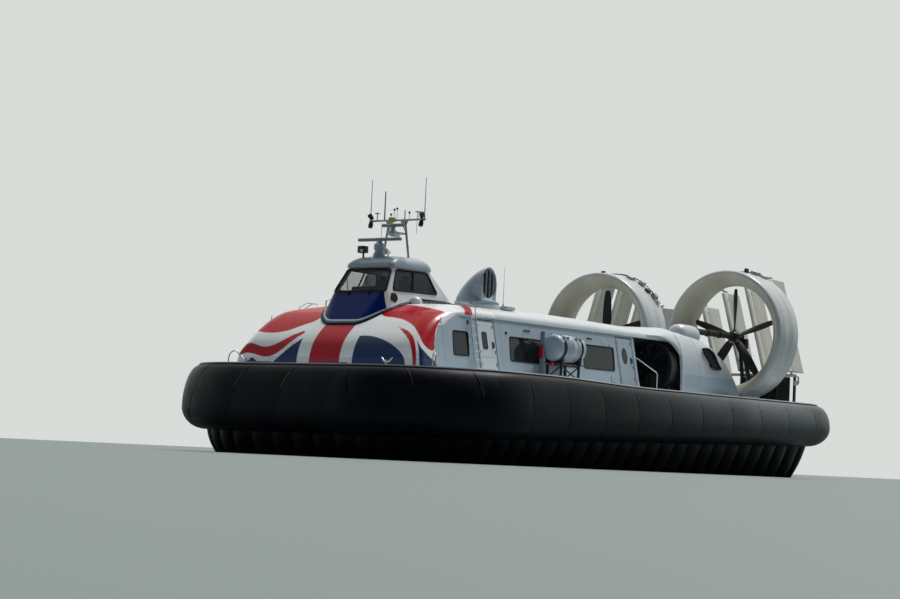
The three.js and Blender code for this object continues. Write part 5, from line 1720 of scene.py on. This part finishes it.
def makeFittings():
    # Hoop rails, cleats and the mooring slot on the bow deck
    rails = Shape()

    def hoop(at, across, high, turn):
        side = Vector((math.cos(turn), math.sin(turn), 0)) * across / 2
        points = [at - side, at - side + upward * (high * 0.6)]
        points += [at - side * math.cos(a) + upward * (high * (0.6 + 0.4 * math.sin(a)))
                   for a in (0.5, 1.1, 1.57, 2.0, 2.6)]
        points += [at + side + upward * (high * 0.6), at + side]
        rails.tube(points, 0.02, 10, "steel")

    hoop(Vector((7.55, -1.95, 4.68)), 0.42, 0.26, 0.2)
    for side in (1, -1):
        hoop(Vector((9.6, side * 3.98, 2.62)), 0.36, 0.56, side * 0.9)
        cleat = Vector((10.35, side * 2.80, 2.62))
        rails.rod(cleat, cleat + upward * 0.30, 0.035, 12, "steel")
        for swing in (1, -1):
            rails.tube([cleat + upward * 0.22, cleat + Vector((-0.02, swing * 0.12, 0.27)),
                        cleat + Vector((-0.03, swing * 0.20, 0.36))], [0.03, 0.028, 0.018], 10, "steel")
        rails.box((11.06, side * 1.05, deckFace), (11.18, side * 1.95, 2.78), "black", 0.02)
        # Searchlight, lamp, antennas and boxes along the roof's edge
        rails.rod((5.94, side * 2.6, 4.66), (5.94, side * 2.6, 4.80), 0.02, 10, "chrome")
        rails.lathe([(-0.11, 0), (-0.11, 0.06), (-0.03, 0.10), (0.08, 0.105), (0.10, 0.0)],
                    (5.94, side * 2.6, 4.87), (1, side * 0.6, 0), 22, lampFinish)
        rails.box((5.45, side * 2.66, 4.60), (5.72, side * 2.54, 4.72), "black", 0.03)
        rails.box((4.0, side * 2.48, 4.84), (4.50, side * 2.72, 4.965), "ductOut", 0.03)
        rails.rod((4.5, side * 2.60, 4.84), (4.5, side * 2.60, 6.16), 0.010, 8, "ductOut", 0.005)
        rails.rod((4.5, side * 2.60, 4.84), (4.5, side * 2.60, 5.02), 0.026, 10, "ductOut")
    # Dome beside the wheelhouse, to port as in the photograph
    rails.lathe([(-0.05, 0), (-0.05, 0.20), (0.04, 0.21), (0.12, 0.18), (0.19, 0.10), (0.215, 0.0)],
                (7.28, 1.32, 4.83), upward, 28, "white")
    rails.piece("deck_and_roof_fittings", slot="bare_metal")
    slots, outline = Shape(), softCorners(house["slot"], 0.03)
    for side in (1, -1):
        slots.loft([onSide(outline, lift, side) for lift in (-0.02, 0.012)], "rubber")
    slots.piece("wheelhouse_side_slots", slot="black_paint")


def makeLiferafts():
    x0, x1, y, z = sideSet["canister"]
    shape = Shape()
    profile = [(0, 0.0), (0.0, 0.12), (0.02, 0.26), (0.06, 0.35), (0.12, 0.405), (0.18, 0.42)]
    length = x1 - x0 + 0.08
    body = profile + [(length * share, wide) for share, wide in
                      ((0.46, 0.42), (0.47, 0.428), (0.53, 0.428), (0.54, 0.42))]
    body += [(length - along, wide) for along, wide in reversed(profile)]
    shape.lathe(body, (x0 - 0.04, y, z), forward, 48, "raft")
    # Straps with their buckles, and two small plates on the end
    for share, half, paint in ((0.20, 0.03, "rubber"), (0.34, 0.022, "steel"), (0.66, 0.022, "steel"),
                               (0.80, 0.03, "rubber")):
        at = x0 + (x1 - x0) * share
        shape.lathe([(-half, 0.418), (-half, 0.429), (half, 0.429), (half, 0.418)], (at, y, z), forward, 48,
                    paint, ring=True)
        shape.box((at - 0.05, y + 0.25, z + 0.30), (at + 0.05, y + 0.34, z + 0.36), "steel", 0.01)
    for across, up in ((-0.12, 0.05), (0.10, -0.12)):
        plate = Vector((x0 - 0.041, y + across, z + up))
        half = Vector((0.011, 0.05, 0.03))
        shape.box(plate - half, plate + half, "red", 0.004)
    bothSides(shape, "liferaft_canister", slot="liferaft_grey", replaces=["liferaft"])
    rack = Shape()
    rack.box((x1 + 0.12, y - 0.28, deckFace), (x1 + 0.18, y - 0.13, 4.20), "scanner", 0.01)
    rack.box((x1 + 0.10, y - 0.32, deckFace), (x1 + 0.20, y + 0.30, 2.66), "scanner", 0.01)
    rack.rod((x1 - 0.2, y - 0.22, 3.22), (x1 + 0.15, y - 0.22, 3.22), 0.03, 10, "scanner")
    rack.box((x1 + 0.18, y - 0.26, 3.36), (x1 + 0.25, y - 0.15, 3.76), "red", 0.01)
    rack.box((x1 + 0.04, y + 0.10, 3.16), (x1 + 0.16, y + 0.19, 3.25), "red", 0.02)

    def under(x, radius, first, last, steps):  # an arc round the canister, in radians from straight down
        turns = [first + (last - first) * k / steps for k in range(steps + 1)]
        return [(x, y + radius * math.sin(turn), z - radius * math.cos(turn)) for turn in turns]

    for x in (x0 + 0.25, x1 - 0.25):
        rack.loft([under(x + depth, 0.425, -0.95, 0.95, 16)
                   + [(x + depth, y + 0.36 * math.sin(turn), z - 0.5) for turn in (1.1, -1.1)]
                   for depth in (-0.04, 0.04)], "black")
        for across in (-0.25, 0.25):
            rack.rod((x, y + across, deckFace), (x, y + across * 1.05, 3.26), 0.045, 12, "black")
            rack.lathe([(0, 0), (0, 0.07), (0.015, 0.07), (0.02, 0.03), (0.02, 0)], (x, y + across, deckFace),
                       upward, 16, "black")
        rack.rod((x, y - 0.25, 2.80), (x, y + 0.25, 3.16), 0.024, 8, "black")
        rack.tube(under(x + 0.05, 0.44, -2.9, 2.0, 30), 0.024, 8, "black")
    for across in (-0.25, 0.25):
        rack.rod((x0 + 0.02, y + across, 3.22), (x1 - 0.02, y + across, 3.22), 0.025, 12, "black")
    rack.rod((x0 + 0.25, y + 0.26, 2.75), (x1 - 0.25, y + 0.26, 3.15), 0.024, 8, "black")
    bothSides(rack, "liferaft_cradle", slot="black_paint", replaces=["liferaft_rack"])


guard = {"low": (-10.9, 2.70, 2.66), "high": (-9.98, 4.25, 3.60), "pitch": 0.04, "foot": 3.703}


def makeGuards():
    # Wire mesh round the machinery behind each duct, and the rudder linkage beside it
    wire = Shape()
    wire.rod((0, 0, -0.02), (0, 0, 0.02), 0.0045, 4, "black")
    (x0, y0, low), (x1, y1, high) = guard["low"], guard["high"]
    for sideName, side in sides:
        near, far = side * y0, side * y1
        lines = []
        for k in range(1, 18):
            x = x0 + (x1 - x0) * k / 18
            lines += [[(x, y, low), (x, y, high)] for y in (far, near)]
        for k in range(1, 30):
            y = near + (far - near) * k / 30
            lines += [[(x, y, low), (x, y, high)] for x in (x0, x1)]
        for k in range(1, 18):
            z = low + (high - low) * k / 18
            lines += [[(x0, near, z), (x0, far, z)], [(x0, far, z), (x1, far, z)],
                      [(x1, near, z), (x1, far, z)]]
        copyForms(f"guard_mesh_{sideName}", lines, guard["pitch"], wire, "black")
    shape = Shape()
    for x in (x0 + 0.025, x1 - 0.025):
        for y in (y0 + 0.025, y1 - 0.025):
            shape.rod((x, y, 2.62), (x, y, 3.62), 0.03, 10, "black")
    for z in (low, high):
        left, right, near, far = x0 + 0.02, x1 - 0.02, y0 + 0.02, y1 - 0.02
        shape.tube([(left, near, z), (right, near, z), (right, far, z), (left, far, z)], 0.026, 8, "black",
                   ring=True)
    # Actuator, tank, pipes, and two dark backing sheets on the guard's inboard side and aft end, as painted
    # shade inside the cage
    shape.box((x0 + 0.04, y0 + 0.03, low), (x1 - 0.04, y0 + 0.04, 3.58), "rubber", 0.002)
    shape.box((x0 + 0.03, y0 + 0.05, low), (x0 + 0.04, y1 - 0.04, 3.58), "rubber", 0.002)
    shape.box((-10.65, 3.05, low), (-10.25, 3.75, 3.25), "rubber", 0.04)
    shape.lathe([(0, 0), (0, 0.12), (0.03, 0.15), (0.62, 0.15), (0.65, 0.12), (0.65, 0)], (-10.15, 3.0, 3.3),
                (0, 1, 0), 24, "steel")
    shape.tube([(-10.5, 3.9, 2.7), (-10.5, 3.95, 3.3), (-10.2, 3.95, 3.45), (-10.1, 3.4, 3.45)], 0.03, 10,
               "black")
    shape.rod((-10.45, 3.3, 3.1), (-10.26, 2.95, 3.62), 0.035, 12, "steel")
    # Beam under the rudders, on two posts, with a bearing for each
    for y in (1.54, 4.79):
        shape.box((-10.31, y - 0.04, deckFace), (-10.21, y + 0.04, 3.66), "black", 0.012)
        shape.box((-10.38, y - 0.09, deckFace), (-10.14, y + 0.09, 2.65), "black", 0.006)
    shape.box((-10.32, 1.45, 3.603), (-10.20, 4.85, guard["foot"]), "ductOut", 0.012)
    for _, across in rudder["offsets"]:
        pivot = duct["y"] + across + (duct["z"] - 3.66) * math.tan(rudder["cant"])
        shape.lathe([(0, 0), (0, 0.07), (0.02, 0.07), (0.03, 0.045), (0.03, 0)],
                    (rudder["x"], pivot, guard["foot"]), upward, 16, "steel")
    shape.tube([(-10.20, 4.9, 3.66), (-10.1, 5.02, 3.60), (-10.15, 5.0, 3.40), (-10.3, 4.92, 3.36)], 0.03, 10,
               "steel")
    shape.box((-10.2, 4.86, 3.30), (-10.05, 4.98, 3.46), "ductOut", 0.02)
    bothSides(shape, "guard_frame", slot="black_paint", replaces=["guard_cage"])


def makeRimRail():
    # Pale rail round the deck's edge, with a flat flange inboard that lies on the deck
    loops = []
    gap = craft["gap"]
    for at, out in deckEdge(432)[0]:
        rise = rimRise(at.x)
        profile = [(-0.36, gap), (-0.36, 0.012), (-0.11, 0.012), (-0.09, rise), (0.045, rise),
                   (0.056, rise - 0.03), (0.004, rise - 0.03), (0.004, gap)]
        loops.append([rimPoint(at, out, reach, craft["deckTop"] + up) for reach, up in profile])
    shape = Shape()
    shape.loft(loops, "deck", ring=True)
    shape.piece("rim_rail", slot="deck_grey", sharp=40)


makeWindows()
makeDoors()
makeLadder()
makeFittings()
makeLiferafts()
makeGuards()
makeRimRail()
print("sides and deck made")

# Floor, light and world
stageSet = {"floor": 260.0, "skyTone": (0.955, 1.0, 0.965), "skyPower": 0.72,
            "dimSide": (0.77, 0.58, 0.26), "dimPower": 0.07, "dimTone": (0.62, 0.98, 1.28),
            "dimming": (-0.45, 0.75)}
lamps = (("key", (-25, 1, 50), 3.0, 14, (1.0, 0.975, 0.94)),  # name, place, power, spread in degrees, tone
         ("fill", (50, 30, 22), 0.05, 40, (0.85, 0.93, 1.0)))


def makeStage():
    mesh = bpy.data.meshes.new("studio_floor")
    reach = stageSet["floor"]
    corners = [(-reach, -reach, 0), (reach, -reach, 0), (reach, reach, 0), (-reach, reach, 0)]
    mesh.from_pydata(corners, [], [(0, 1, 2, 3)])
    paint = Paint("floor paint", tones["floor"], 0.6)
    paint.set("Base Color", paint.mix(paint.noise(0.05, 3), tones["floor"], shade(tones["floor"], 0.96)))
    mesh.materials.append(paint.material)
    floor = placed("studio_floor", mesh)
    world = bpy.data.worlds.new("studio")
    world.use_nodes = True
    # Hazy sky, brightest behind the craft and dim on the side that the photograph was taken from
    tree = world.node_tree
    place = tree.nodes.new("ShaderNodeTexCoord")
    toward = tree.nodes.new("ShaderNodeVectorMath")
    toward.operation = "DOT_PRODUCT"
    toward.inputs[1].default_value = stageSet["dimSide"]
    share = tree.nodes.new("ShaderNodeMapRange")
    share.interpolation_type = "SMOOTHSTEP"
    share.inputs["From Min"].default_value, share.inputs["From Max"].default_value = stageSet["dimming"]
    tone = tree.nodes.new("ShaderNodeMix")
    tone.data_type = "RGBA"
    tone.inputs[6].default_value = (*shade(stageSet["skyTone"], stageSet["skyPower"]), 1)
    tone.inputs[7].default_value = (*shade(stageSet["dimTone"], stageSet["dimPower"]), 1)
    tree.links.new(place.outputs["Generated"], toward.inputs[0])
    tree.links.new(toward.outputs["Value"], share.inputs["Value"])
    tree.links.new(share.outputs["Result"], tone.inputs[0])
    tree.links.new(tone.outputs[2], tree.nodes["Background"].inputs[0])
    bpy.context.scene.world = world
    bpy.context.scene.view_settings.view_transform = "Standard"
    for name, place, power, spread, tone in lamps:
        data = bpy.data.lights.new(name, "SUN")
        data.energy, data.angle, data.color = power, math.radians(spread), tone
        placed(name, data).rotation_euler = Vector(place).to_track_quat("Z", "Y").to_euler()


makeStage()
print("stage made")

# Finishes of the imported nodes: first those that stay in view, then those that a piece above stands for
finishes = {
    "deck": ["deck"], "hull": ["hull_raft", "engine_block"],
    "side": ["side_wall", "fore_door", "aft_door", "rear_bulkhead"],
    "darkGlass": ["fore_glass", "cabin_glass"],
    "white": ["wheelhouse_shell", "wheelhouse_roof", "engine_cowl", "bow_thruster", "radar_fore",
              "radar_aft"],
    "clearGlass": ["wheelhouse_glass"], "cloth": ["passenger_seats", "crew_seats"], "cream": ["duct"],
    "black": ["lift_fan", "shaft_housing", "propeller", "pylon", "guard_cage", "liferaft_rack"],
    "rudder": [f"rudder_{name}" for name, _ in rudder["offsets"]], "steel": ["mast", "rudder_beam"],
    "raft": ["liferaft"],
}
for finish, names in finishes.items():
    for name in names:
        for node in (name, f"{name}_port", f"{name}_starboard"):
            if node in nodes:
                setFinish(nodes[node].data, finish)

print("pieces finished")
